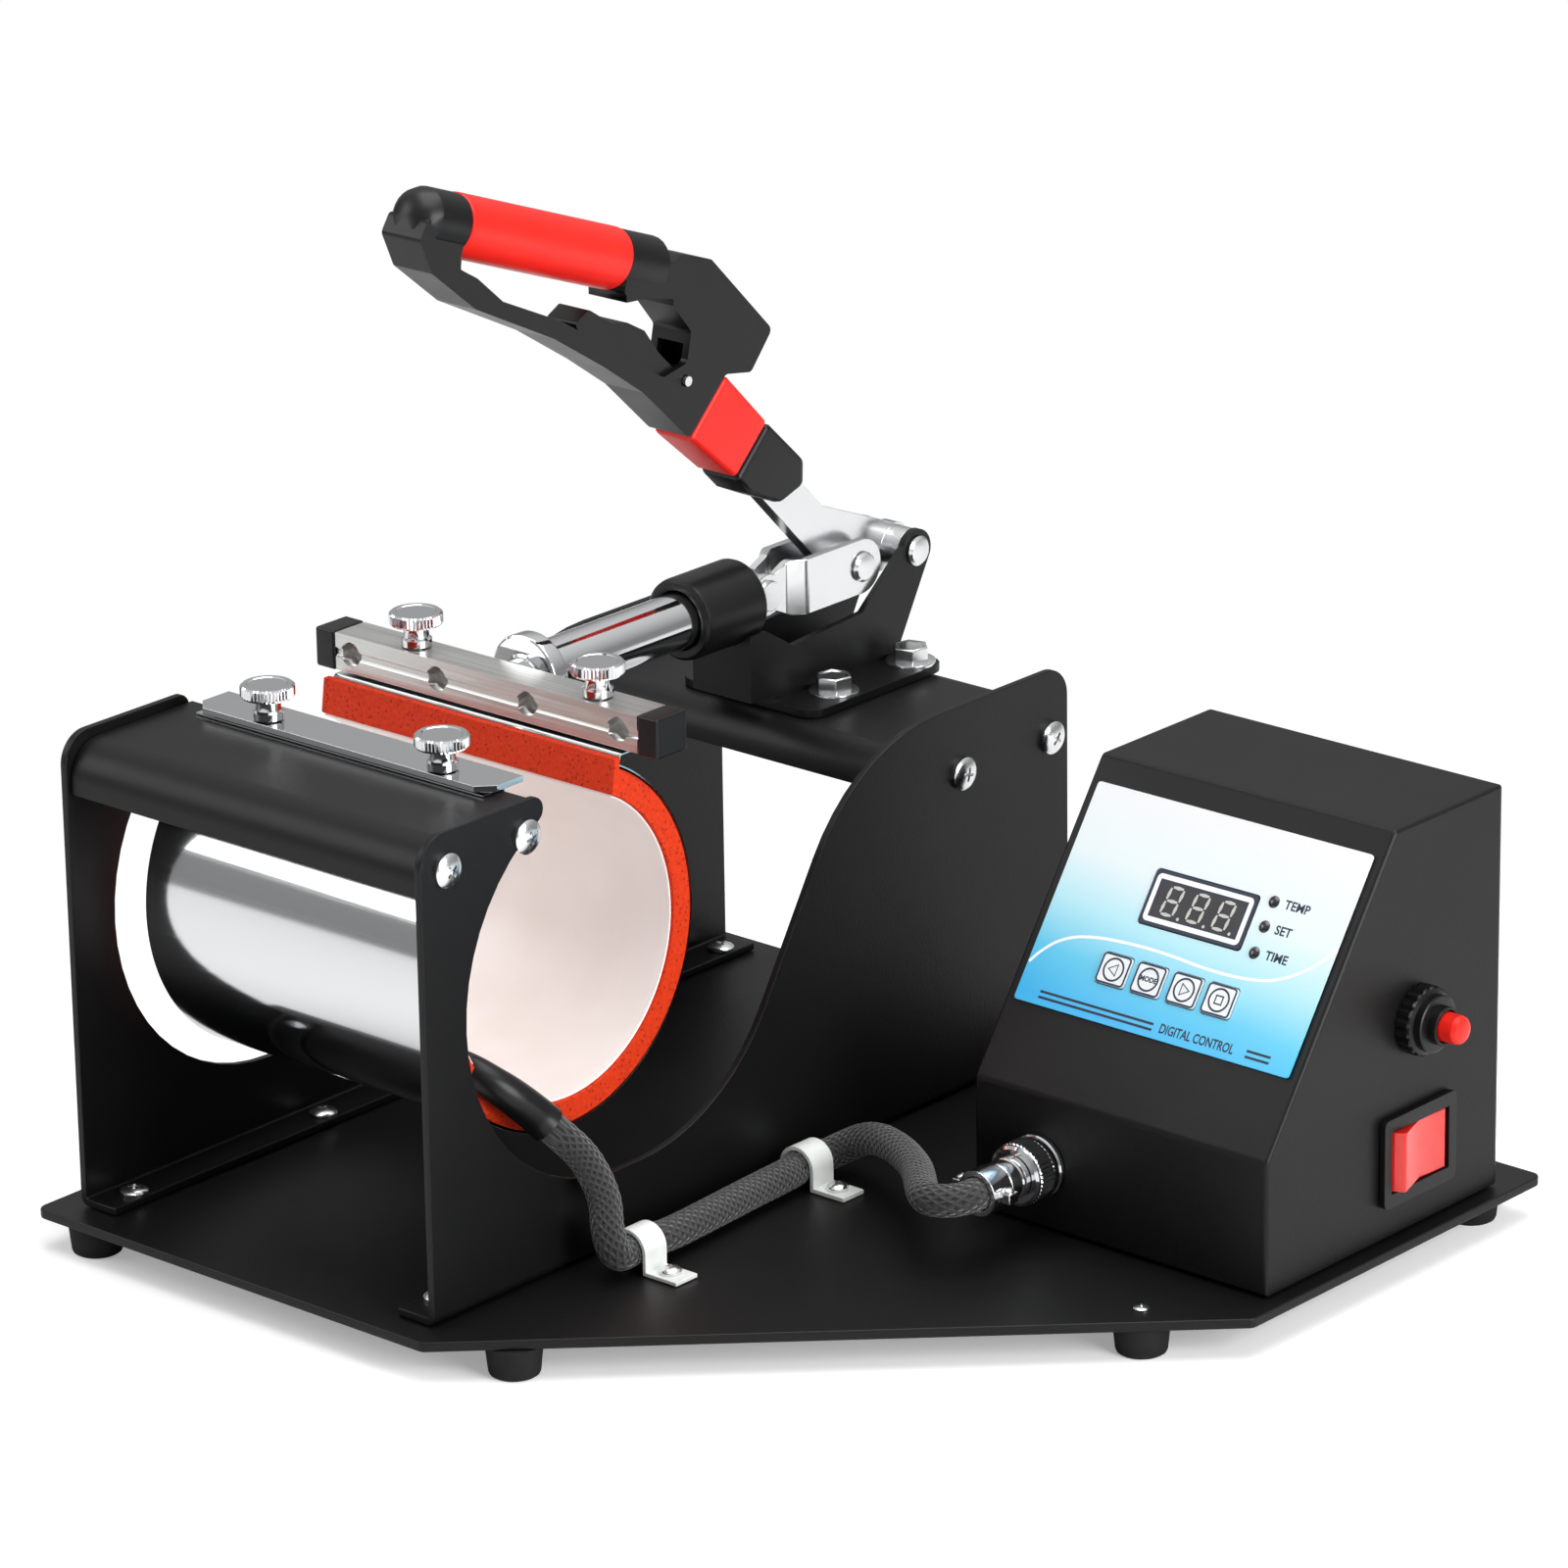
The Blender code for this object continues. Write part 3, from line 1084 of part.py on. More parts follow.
def make_latch(latch_hub, lever_hub):
    y, z = handle_point(LATCH_PIVOT_SHARES)
    loop = rounded([handle_point(shares) for shares in LATCH_SHARES], LATCH_SOFTNESS)
    hole = arc((y, z), LATCH_PIN_RADIUS + GAP, 0, 330)
    mesh = outline_mesh([loop, hole], CHANNEL_WIDTH - 2 * GAP)
    new_piece("latch_trigger", mesh, "black_plastic", (CLAMP_X, 0, 0), SIDE_VIEW, latch_hub)
    half = FRAME_WIDTH / 2 - GAP
    pin = [(0, half), (LATCH_PIN_RADIUS, half), (LATCH_PIN_RADIUS, -half), (0, -half)]
    new_turned("latch_pin", pin, "plated_steel", (CLAMP_X, y, z), ALONG_X, lever_hub, steps=SMALL_STEPS)


# Heater lead: braided cable along the base, held by two clips between the band and the plug
LEAD_RADIUS = 0.0048
SOCKET_X = BOX_LEFT_X + 0.0240
SOCKET_Z = 0.0194
SOCKET_FLANGE_RADIUS = 0.0093
SOCKET_FLANGE_WALL = 0.0016
SOCKET_RADIUS = 0.0056
SOCKET_INSIDE = 0.0080
SOCKET_REACH = 0.0064
RING_RADIUS = 0.0094
RING_START = SOCKET_FLANGE_WALL + 2 * GAP
RING_LENGTH = 0.0092
RING_CHAMFER = 0.0008
PLUG_RADIUS = 0.0063
PLUG_NOSE_RADIUS = 0.0057
PLUG_LENGTH = 0.0080
CORD_GRIP_LENGTH = 0.0080
CORD_GRIP_RADIUS = 0.0068
CORD_GRIP_EAR = 0.0105
CORD_GRIP_EAR_WALL = 0.0030
PLUG_START = RING_START + RING_LENGTH + GAP
CORD_GRIP_START = PLUG_START + PLUG_LENGTH + GAP

CLIP_WIDTH = 0.0090
CLIP_WALL = 0.0012
CLIP_FRONT_X = 0.1548
CLIP_FRONT_Y = 0.0680
CLIP_REAR_X = 0.1510
CLIP_REAR_Y = 0.1437
CLIP_PAD_LENGTH = 0.0120
CLIP_LEAD_IN = 0.0010
CLIP_HOLE = 0.0019
LEAD_LEVEL_Z = BASE_TOP_Z + 2 * GAP + CLIP_WALL + LEAD_RADIUS

LEAD_TURN = [
    (0.2231, 0.1275, 0.0193), (0.2198, 0.1238, 0.0190), (0.2148, 0.1231, 0.0186),
    (0.2098, 0.1262, 0.0181), (0.2040, 0.1320, 0.0175), (0.1965, 0.1395, 0.0168),
    (0.1880, 0.1460, 0.0162), (0.1785, 0.1513, 0.0156), (0.1690, 0.1555, 0.0143),
    (0.1610, 0.1575, 0.0118), (0.1550, 0.1562, 0.0085), (0.1519, 0.1525, 0.0065),
]
LEAD_RUN = [
    (0.1512, 0.1370, 0.0057), (0.1522, 0.1200, 0.0057), (0.1536, 0.1000, 0.0057), (0.1546, 0.0830, 0.0057),
]
LEAD_CLIMB = [
    (0.1548, 0.0593, 0.0066), (0.1543, 0.0572, 0.0096), (0.1526, 0.0573, 0.0147),
    (0.1497, 0.0595, 0.0212), (0.1458, 0.0598, 0.0280), (0.1414, 0.0582, 0.0345),
]
LEAD_END = (0.1352, 0.0540, 0.0415)
CONDUIT_START = (0.1345, 0.0533, 0.0423)
CONDUIT_ROUTE = [
    (0.1328, 0.0510, 0.0453), (0.1318, 0.0465, 0.0500), (0.1314, 0.0415, 0.0560),
    (0.1312, 0.0370, 0.0630), (0.1311, 0.0340, 0.0710), (0.1311, 0.0325, 0.0800),
]
CONDUIT_RADIUS = 0.0056
CONDUIT_TAPER_SHARE = 0.85


# A smooth curve through chosen points, read at even steps
def smooth_route(points, per_span=3):
    route = []
    for place in range(len(points) - 1):
        spans = [Vector(points[max(0, min(len(points) - 1, place + offset))]) for offset in (-1, 0, 1, 2)]
        before, start, end, after = spans
        for step in range(per_span):
            share = step / per_span
            rise = (end - before) / 2
            fall = (after - start) / 2
            square = share * share
            cube = square * share
            route.append(start * (2 * cube - 3 * square + 1) + rise * (cube - 2 * square + share)
                         + end * (3 * square - 2 * cube) + fall * (cube - square))
    route.append(Vector(points[-1]))
    return route


def make_tube(name, route, radius, look, taper_share=1.0):
    curve = bpy.data.curves.new(name, "CURVE")
    curve.dimensions = "3D"
    curve.bevel_depth = radius
    curve.bevel_resolution = 3
    curve.use_fill_caps = True
    spline = curve.splines.new("POLY")
    spline.points.add(len(route) - 1)
    for place, (point, where) in enumerate(zip(spline.points, route)):
        point.co = (where[0], where[1], where[2], 1)
        point.radius = 1 + (taper_share - 1) * place / (len(route) - 1)
    curve.materials.append(finish(look))
    tube = bpy.data.objects.new(name, curve)
    tube.parent = PRESS
    MODEL.objects.link(tube)


# The lead runs straight where a clip holds it
def clip_span(x, y):
    half = CLIP_WIDTH / 2
    steps = (half + CLIP_LEAD_IN, half, -half, -half - CLIP_LEAD_IN)
    return [(x, y + step, LEAD_LEVEL_Z) for step in steps]


def make_lead():
    exit_y = BOX_FRONT_Y - CORD_GRIP_START
    start = [(SOCKET_X, exit_y, SOCKET_Z), (SOCKET_X, exit_y - CORD_GRIP_LENGTH, SOCKET_Z)]
    rear_clip = clip_span(CLIP_REAR_X, CLIP_REAR_Y)
    front_clip = clip_span(CLIP_FRONT_X, CLIP_FRONT_Y)
    points = start + LEAD_TURN + rear_clip + LEAD_RUN + front_clip + LEAD_CLIMB + [LEAD_END]
    make_tube("heater_lead", smooth_route(points, 2), LEAD_RADIUS, "braid")
    make_tube("heater_conduit", smooth_route([CONDUIT_START] + CONDUIT_ROUTE, 2), CONDUIT_RADIUS,
              "black_plastic", CONDUIT_TAPER_SHARE)


# Cable clips: a nylon loop over the lead with a flat screw pad on the base plate
def make_clip(name, x, y):
    reach = LEAD_RADIUS + GAP + CLIP_WALL / 2
    level = BASE_TOP_Z + GAP + CLIP_WALL / 2
    path = [(x + CLIP_PAD_LENGTH + reach, level), (x + reach, level)]
    path += arc((x, LEAD_LEVEL_Z), reach, 0, 180)
    path += arc((x, LEAD_LEVEL_Z), reach, 180, 250)[1:]
    mesh = outline_mesh([sheet_outline(path, CLIP_WALL)], CLIP_WIDTH)
    clip = new_piece(name, mesh, "white_nylon", (0, y, 0), FRONT_VIEW)
    hole = cylinder_mesh(CLIP_HOLE, 4 * CLIP_WALL)
    place = (x + reach + CLIP_PAD_LENGTH / 2, y, level)
    cut(clip, new_cutter(name + "_hole", hole, place))


# Lead connector: chassis socket, knurled coupling ring, plug and its cord grip
def make_connector():
    place = (SOCKET_X, BOX_FRONT_Y, SOCKET_Z)
    socket = [
        (0, SOCKET_REACH),
        (SOCKET_RADIUS, SOCKET_REACH),
        (SOCKET_RADIUS, SOCKET_FLANGE_WALL + GAP),
        (SOCKET_FLANGE_RADIUS, SOCKET_FLANGE_WALL + GAP),
        (SOCKET_FLANGE_RADIUS, GAP),
        (SOCKET_RADIUS, GAP),
        (SOCKET_RADIUS, -SOCKET_INSIDE),
        (0, -SOCKET_INSIDE),
    ]
    new_turned("lead_socket", socket, "bright_steel", place, ALONG_MINUS_Y)
    inner = SOCKET_RADIUS + 2 * GAP
    end = RING_START + RING_LENGTH
    ring = [
        (inner, end),
        (RING_RADIUS - RING_CHAMFER, end),
        (RING_RADIUS, end - RING_CHAMFER),
        (RING_RADIUS, RING_START + RING_CHAMFER),
        (RING_RADIUS - RING_CHAMFER, RING_START),
        (inner, RING_START),
    ]
    new_turned("coupling_ring", ring, "bright_steel", place, ALONG_MINUS_Y, closed=True)
    nose = SOCKET_REACH + GAP
    plug = [
        (0, PLUG_START + PLUG_LENGTH),
        (PLUG_RADIUS - RING_CHAMFER, PLUG_START + PLUG_LENGTH),
        (PLUG_RADIUS, PLUG_START + PLUG_LENGTH - RING_CHAMFER),
        (PLUG_RADIUS, PLUG_START),
        (PLUG_NOSE_RADIUS, PLUG_START),
        (PLUG_NOSE_RADIUS, nose),
        (0, nose),
    ]
    new_turned("lead_plug", plug, "bright_steel", place, ALONG_MINUS_Y)
    inner = LEAD_RADIUS + GAP
    end = CORD_GRIP_START + CORD_GRIP_LENGTH
    grip = [(inner, end), (CORD_GRIP_RADIUS, end), (CORD_GRIP_RADIUS, CORD_GRIP_START), (inner, CORD_GRIP_START)]
    cord_grip = new_turned("cord_grip", grip, "bright_steel", place, ALONG_MINUS_Y, closed=True)
    middle = (CORD_GRIP_START + end) / 2
    size = (2 * CORD_GRIP_EAR, CORD_GRIP_LENGTH / 2, CORD_GRIP_EAR_WALL)
    ears = new_cutter("cord_grip_ears", block_mesh(size), (SOCKET_X, BOX_FRONT_Y - middle, SOCKET_Z))
    bore = cylinder_mesh(inner, 3 * CORD_GRIP_LENGTH, ROUND_STEPS)
    join(cord_grip, ears)
    cut(cord_grip, new_cutter("cord_grip_bore", bore, (SOCKET_X, BOX_FRONT_Y - middle, SOCKET_Z), ALONG_Y))


# Control box: sheet cover with a sloping face, open below and closed by a floor plate
SLOPE_ANGLE = math.atan2(BOX_TOP_Z - BOX_SILL_Z, BOX_CREST_Y - BOX_FRONT_Y)
SLOPE_TURN = (SLOPE_ANGLE, 0, 0)
SLOPE_NORMAL = (-math.sin(SLOPE_ANGLE), math.cos(SLOPE_ANGLE))
BOX_SOFTNESS = 0.0012
BOX_STAND_Z = GAP
BOX_MIDDLE_X = BOX_LEFT_X + BOX_WIDTH / 2
PANEL_LEFT = 0.0038
PANEL_RIGHT_MARGIN = 0.0034
PANEL_WIDTH = BOX_WIDTH - PANEL_LEFT - PANEL_RIGHT_MARGIN
PANEL_MIDDLE = PANEL_LEFT + PANEL_WIDTH / 2
PANEL_DROP = 0.0084
PANEL_HEIGHT = 0.0669
PANEL_WALL = 0.0008
PANEL_CORNER = 0.0010
WINDOW_WIDTH = 0.0364
WINDOW_LEFT = PANEL_MIDDLE - WINDOW_WIDTH / 2 + 0.0001
WINDOW_DROP = 0.0282
WINDOW_HEIGHT = 0.0164
KEY_CENTRES = [PANEL_MIDDLE + offset for offset in (-0.0194, -0.0069, 0.0059, 0.0183)]
KEY_DROP = 0.0597
KEY_WIDTH = 0.0102
KEY_HEIGHT = 0.0092
KEY_CORNER = 0.0012
KEY_PROUD = 0.0006
KEY_RIM = 0.0007
KEY_RIM_WALL = 0.0010
KEY_STEM_RADIUS = 0.0018
KEY_TRAVEL = 0.0006
BOARD_DEPTH = 0.0080
BOARD_WALL = 0.0016
BOARD_MARGIN = 0.0040
POST_RADIUS = 0.0025
RESET_Y = 0.2282
RESET_Z = 0.0633
RESET_HOLE = 0.0060
SWITCH_Y = 0.2281
SWITCH_Z = 0.0239
SWITCH_LENGTH = 0.0334
SWITCH_HEIGHT = 0.0269
SWITCH_RIM = 0.0022
INLET_X = BOX_LEFT_X + 0.0420
INLET_Z = 0.0300
INLET_WIDTH = 0.0300
INLET_HEIGHT = 0.0240
INLET_RIM = 0.0018


# A place on the sloping face: right of the box's left side, down from the crest and out from the face
def slope_place(right, down, out):
    y = BOX_CREST_Y - down * math.cos(SLOPE_ANGLE) + out * SLOPE_NORMAL[0]
    z = BOX_TOP_Z - down * math.sin(SLOPE_ANGLE) + out * SLOPE_NORMAL[1]
    return (BOX_LEFT_X + right, y, z)


def slope_window(name, right, down, width, height, corner, depth):
    mesh = outline_mesh([rounded(rectangle(-width / 2, -height / 2, width / 2, height / 2), corner)], depth)
    return new_cutter(name, mesh, slope_place(right, down, 0), SLOPE_TURN)


def window_middle():
    return (WINDOW_LEFT + WINDOW_WIDTH / 2, WINDOW_DROP + WINDOW_HEIGHT / 2)


def make_control_box():
    outer = [(BOX_FRONT_Y, BOX_STAND_Z), (BOX_FRONT_Y, BOX_SILL_Z), (BOX_CREST_Y, BOX_TOP_Z),
             (BOX_BACK_Y, BOX_TOP_Z), (BOX_BACK_Y, BOX_STAND_Z)]
    box = new_piece("control_box_cover", outline_mesh([outer], BOX_WIDTH), "powder_coat",
                    (BOX_MIDDLE_X, 0, 0), SIDE_VIEW)
    soften(box, BOX_SOFTNESS, angle=25)
    inner = moved_path(outer, -BOX_WALL, closed=True)
    inner[0] = (inner[0][0], BOX_STAND_Z - OVERRUN)
    inner[-1] = (inner[-1][0], BOX_STAND_Z - OVERRUN)
    hollow = outline_mesh([inner], BOX_WIDTH - 2 * BOX_WALL)
    cut(box, new_cutter("box_hollow", hollow, (BOX_MIDDLE_X, 0, 0), SIDE_VIEW))
    for name, right, down in post_places():
        length = BOARD_DEPTH - BOX_WALL / 2 - GAP
        middle = -BOARD_DEPTH + GAP + length / 2
        mesh = cylinder_mesh(POST_RADIUS, length)
        join(box, new_cutter(name, mesh, slope_place(right, down, middle), SLOPE_TURN))
    deep = 4 * BOX_WALL
    right, down = window_middle()
    seat = WINDOW_WIDTH - 2 * BOX_WALL
    cut(box, slope_window("box_window", right, down, seat, WINDOW_HEIGHT - 2 * BOX_WALL, KEY_CORNER, deep))
    for place, centre in enumerate(KEY_CENTRES):
        cut(box, slope_window("box_key_%d" % place, centre, KEY_DROP, KEY_WIDTH + 2 * GAP,
                              KEY_HEIGHT + 2 * GAP, KEY_CORNER, deep))
    hole = cylinder_mesh(RESET_HOLE, deep, ROUND_STEPS)
    cut(box, new_cutter("box_reset_hole", hole, (BOX_RIGHT_X, RESET_Y, RESET_Z), ALONG_X))
    size = (deep, SWITCH_LENGTH - 2 * SWITCH_RIM + 2 * GAP, SWITCH_HEIGHT - 2 * SWITCH_RIM + 2 * GAP)
    cut(box, new_cutter("box_switch_hole", block_mesh(size), (BOX_RIGHT_X, SWITCH_Y, SWITCH_Z)))
    size = (INLET_WIDTH - 2 * INLET_RIM + 2 * GAP, deep, INLET_HEIGHT - 2 * INLET_RIM + 2 * GAP)
    cut(box, new_cutter("box_inlet_hole", block_mesh(size), (INLET_X, BOX_BACK_Y, INLET_Z)))
    hole = cylinder_mesh(SOCKET_RADIUS + GAP, deep, ROUND_STEPS)
    cut(box, new_cutter("box_socket_hole", hole, (SOCKET_X, BOX_FRONT_Y, SOCKET_Z), ALONG_Y))


def make_box_floor():
    inset = BOX_WALL + GAP
    size = (BOX_WIDTH - 2 * inset, BOX_BACK_Y - BOX_FRONT_Y - 2 * inset, BOX_WALL)
    place = (BOX_MIDDLE_X, (BOX_FRONT_Y + BOX_BACK_Y) / 2, BOX_STAND_Z + BOX_WALL / 2)
    new_piece("control_box_floor", block_mesh(size), "powder_coat", place)


# Panel plate, display window and four keys on the sloping face, with the board behind them
def post_places():
    places = []
    for row, down in (("top", PANEL_DROP + BOARD_MARGIN), ("low", PANEL_DROP + PANEL_HEIGHT - BOARD_MARGIN)):
        for side, right in (("left", PANEL_LEFT + BOARD_MARGIN), ("right", PANEL_LEFT + PANEL_WIDTH - BOARD_MARGIN)):
            places.append(("post_%s_%s" % (row, side), right, down))
    return places


def make_panel():
    middle_right = PANEL_LEFT + PANEL_WIDTH / 2
    middle_down = PANEL_DROP + PANEL_HEIGHT / 2
    half_width = PANEL_WIDTH / 2
    half_height = PANEL_HEIGHT / 2
    loops = [rounded(rectangle(-half_width, -half_height, half_width, half_height), PANEL_CORNER)]
    openings = [window_middle() + (WINDOW_WIDTH + 2 * GAP, WINDOW_HEIGHT + 2 * GAP)]
    openings += [(centre, KEY_DROP, KEY_WIDTH + 2 * GAP, KEY_HEIGHT + 2 * GAP) for centre in KEY_CENTRES]
    for right, down, width, height in openings:
        u = right - middle_right
        v = middle_down - down
        loops.append(rounded(rectangle(u - width / 2, v - height / 2, u + width / 2, v + height / 2), KEY_CORNER))
    place = slope_place(middle_right, middle_down, GAP + PANEL_WALL / 2)
    new_piece("control_panel", outline_mesh(loops, PANEL_WALL), "panel_film", place, SLOPE_TURN)


def make_display():
    right, down = window_middle()
    wall = PANEL_WALL + GAP
    loop = rounded(rectangle(-WINDOW_WIDTH / 2, -WINDOW_HEIGHT / 2, WINDOW_WIDTH / 2, WINDOW_HEIGHT / 2), KEY_CORNER)
    place = slope_place(right, down, GAP + wall / 2)
    new_piece("display_window", outline_mesh([loop], wall), "window_film", place, SLOPE_TURN)


def key_mesh(low, high):
    cap = rounded(rectangle(-KEY_WIDTH / 2, -KEY_HEIGHT / 2, KEY_WIDTH / 2, KEY_HEIGHT / 2), KEY_CORNER)
    return outline_mesh([cap], high - low)


def make_keys():
    rim_top = -BOX_WALL - GAP
    stem_low = GAP - BOARD_DEPTH + KEY_TRAVEL + GAP
    for count, centre in enumerate(KEY_CENTRES):
        name = "panel_key_%d" % (count + 1)
        low = rim_top - KEY_RIM_WALL / 2
        high = GAP + PANEL_WALL + KEY_PROUD
        place = slope_place(centre, KEY_DROP, (low + high) / 2)
        key = new_piece(name, key_mesh(low, high), "key_film", place, SLOPE_TURN)
        size = (KEY_WIDTH + 2 * KEY_RIM, KEY_HEIGHT + 2 * KEY_RIM, KEY_RIM_WALL)
        rim = new_cutter(name + "_rim", block_mesh(size),
                         slope_place(centre, KEY_DROP, rim_top - KEY_RIM_WALL / 2), SLOPE_TURN)
        length = rim_top - KEY_RIM_WALL / 2 - stem_low
        stem = new_cutter(name + "_stem", cylinder_mesh(KEY_STEM_RADIUS, length),
                          slope_place(centre, KEY_DROP, stem_low + length / 2), SLOPE_TURN)
        join(key, rim, stem)


def make_board():
    size = (PANEL_WIDTH - BOARD_MARGIN / 2, PANEL_HEIGHT - BOARD_MARGIN / 2, BOARD_WALL)
    place = slope_place(PANEL_LEFT + PANEL_WIDTH / 2, PANEL_DROP + PANEL_HEIGHT / 2,
                        -BOARD_DEPTH - BOARD_WALL / 2)
    board = new_piece("control_board", block_mesh(size), "board", place, SLOPE_TURN)
    inset = BOX_WALL + 3 * GAP
    top = -GAP
    bottom = -BOARD_DEPTH - BOARD_WALL / 2
    right, down = window_middle()
    size = (WINDOW_WIDTH - 2 * inset, WINDOW_HEIGHT - 2 * inset, top - bottom)
    place = slope_place(right, down, (top + bottom) / 2)
    join(board, new_cutter("display_module", block_mesh(size), place, SLOPE_TURN))


# Reset switch: barrel and round nut through the box's side, and the button that springs out
RESET_BARREL_RADIUS = RESET_HOLE - GAP
RESET_BORE = 0.0046
RESET_INSIDE = 0.0110
RESET_RIM_RADIUS = 0.0090
RESET_RIM_WALL = 0.0020
RESET_BARREL_REACH = 0.0110
RESET_NUT_RADIUS = 0.0102
RESET_NUT_WALL = 0.0078
RESET_NUT_CHAMFER = 0.0012
RESET_BUTTON_RADIUS = RESET_BORE - GAP
RESET_BUTTON_DOME = 0.0015
RESET_TRAVEL = 0.0030


def make_reset_switch():
    place = (BOX_RIGHT_X, RESET_Y, RESET_Z)
    floor = -RESET_INSIDE + RESET_RIM_WALL
    barrel = [
        (0, floor),
        (RESET_BORE, floor),
        (RESET_BORE, RESET_BARREL_REACH),
        (RESET_BARREL_RADIUS, RESET_BARREL_REACH),
        (RESET_BARREL_RADIUS, RESET_NUT_WALL),
        (RESET_NUT_RADIUS - RESET_NUT_CHAMFER, RESET_NUT_WALL),
        (RESET_NUT_RADIUS, RESET_NUT_WALL - RESET_NUT_CHAMFER),
        (RESET_NUT_RADIUS, GAP),
        (RESET_BARREL_RADIUS, GAP),
        (RESET_BARREL_RADIUS, -BOX_WALL - GAP),
        (RESET_RIM_RADIUS, -BOX_WALL - GAP),
        (RESET_RIM_RADIUS, -RESET_INSIDE),
        (0, -RESET_INSIDE),
    ]
    new_turned("reset_switch", barrel, "black_plastic", place, ALONG_X)
    low = floor + RESET_TRAVEL + GAP
    button = [
        (0, RESET_REACH),
        (RESET_BUTTON_RADIUS - RESET_BUTTON_DOME, RESET_REACH),
        (RESET_BUTTON_RADIUS, RESET_REACH - RESET_BUTTON_DOME),
        (RESET_BUTTON_RADIUS, low),
        (0, low),
    ]
    new_turned("reset_button", button, "red_plastic", place, ALONG_X, steps=SMALL_STEPS)


# Power switch: rimmed housing in the box's side and a rocker that tips about an upright axis
SWITCH_RIM_WALL = 0.0020
SWITCH_INSIDE = 0.0160
ROCKER_HALF = 0.0130
ROCKER_HEIGHT = 0.0180
ROCKER_PIVOT_DEPTH = 0.0030
ROCKER_CREST = 0.0044
ROCKER_EDGE_DEGREES = 30.0
ROCKER_TAIL = 0.0058
ROCKER_TILT_DEGREES = 8.0
SWITCH_FLOOR = 0.0020


def make_power_switch():
    outer = rounded(rectangle(-SWITCH_LENGTH / 2, -SWITCH_HEIGHT / 2, SWITCH_LENGTH / 2, SWITCH_HEIGHT / 2),
                    SWITCH_RIM_WALL)
    place = (BOX_RIGHT_X + GAP + SWITCH_RIM_WALL / 2, SWITCH_Y, SWITCH_Z)
    housing = new_piece("switch_housing", outline_mesh([outer], SWITCH_RIM_WALL), "black_plastic",
                        place, SIDE_VIEW)
    length = SWITCH_LENGTH - 2 * SWITCH_RIM
    height = SWITCH_HEIGHT - 2 * SWITCH_RIM
    depth = SWITCH_INSIDE + GAP + SWITCH_RIM_WALL / 2
    middle_x = BOX_RIGHT_X + GAP + SWITCH_RIM_WALL / 2 - depth / 2
    join(housing, new_cutter("switch_body", block_mesh((depth, length, height)), (middle_x, SWITCH_Y, SWITCH_Z)))
    bay = SWITCH_INSIDE - SWITCH_FLOOR + SWITCH_RIM_WALL + OVERRUN
    bay_x = BOX_RIGHT_X - SWITCH_INSIDE + SWITCH_FLOOR + bay / 2
    size = (bay, 2 * ROCKER_HALF + 2 * GAP, ROCKER_HEIGHT + 2 * GAP)
    cut(housing, new_cutter("switch_bay", block_mesh(size), (bay_x, SWITCH_Y, SWITCH_Z)))
    half = ROCKER_EDGE_DEGREES
    loop = arc((0, 0), ROCKER_HALF, -90 - ROCKER_EDGE_DEGREES / 2, -90 + half)
    loop += [(ROCKER_CREST, 0)]
    loop += arc((0, 0), ROCKER_HALF, 90 - half, 90 + ROCKER_EDGE_DEGREES / 2)
    loop += [(-ROCKER_TAIL, ROCKER_HALF / 2), (-ROCKER_TAIL, -ROCKER_HALF / 2)]
    pivot = (BOX_RIGHT_X - ROCKER_PIVOT_DEPTH, SWITCH_Y, SWITCH_Z)
    new_piece("switch_rocker", outline_mesh([loop], ROCKER_HEIGHT), "red_plastic", pivot,
              (0, 0, math.radians(ROCKER_TILT_DEGREES)))


# Mains inlet: rimmed housing in the box's back with a recess and three blades
INLET_RIM_WALL = 0.0020
INLET_INSIDE = 0.0180
INLET_WALL = 0.0014
INLET_FLOOR = 0.0020
BLADE_WIDTH = 0.0020
BLADE_HEIGHT = 0.0040
BLADE_LENGTH = 0.0120
BLADE_SPREAD = 0.0070
BLADE_OFFSET_Z = 0.0020


def make_mains_inlet():
    outer = rounded(rectangle(-INLET_WIDTH / 2, -INLET_HEIGHT / 2, INLET_WIDTH / 2, INLET_HEIGHT / 2),
                    INLET_RIM_WALL)
    place = (INLET_X, BOX_BACK_Y + GAP + INLET_RIM_WALL / 2, INLET_Z)
    inlet = new_piece("mains_inlet", outline_mesh([outer], INLET_RIM_WALL), "black_plastic", place, FRONT_VIEW)
    width = INLET_WIDTH - 2 * INLET_RIM
    height = INLET_HEIGHT - 2 * INLET_RIM
    depth = INLET_INSIDE + GAP + INLET_RIM_WALL / 2
    middle_y = BOX_BACK_Y + GAP + INLET_RIM_WALL / 2 - depth / 2
    join(inlet, new_cutter("inlet_body", block_mesh((width, depth, height)), (INLET_X, middle_y, INLET_Z)))
    recess = INLET_INSIDE - INLET_FLOOR + INLET_RIM_WALL + OVERRUN
    recess_y = BOX_BACK_Y - INLET_INSIDE + INLET_FLOOR + recess / 2
    size = (width - 2 * INLET_WALL, recess, height - 2 * INLET_WALL)
    cut(inlet, new_cutter("inlet_recess", block_mesh(size), (INLET_X, recess_y, INLET_Z)))
    floor_y = BOX_BACK_Y - INLET_INSIDE + INLET_FLOOR
    blade_y = floor_y + BLADE_LENGTH / 2 - INLET_FLOOR / 2
    blades = (("left", -BLADE_SPREAD, -BLADE_OFFSET_Z), ("middle", 0, BLADE_OFFSET_Z), ("right", BLADE_SPREAD,
                                                                                     -BLADE_OFFSET_Z))
    for name, offset, rise in blades:
        mesh = block_mesh((BLADE_WIDTH, BLADE_LENGTH, BLADE_HEIGHT))
        join(inlet, new_cutter("blade_" + name, mesh, (INLET_X + offset, blade_y, INLET_Z + rise)))


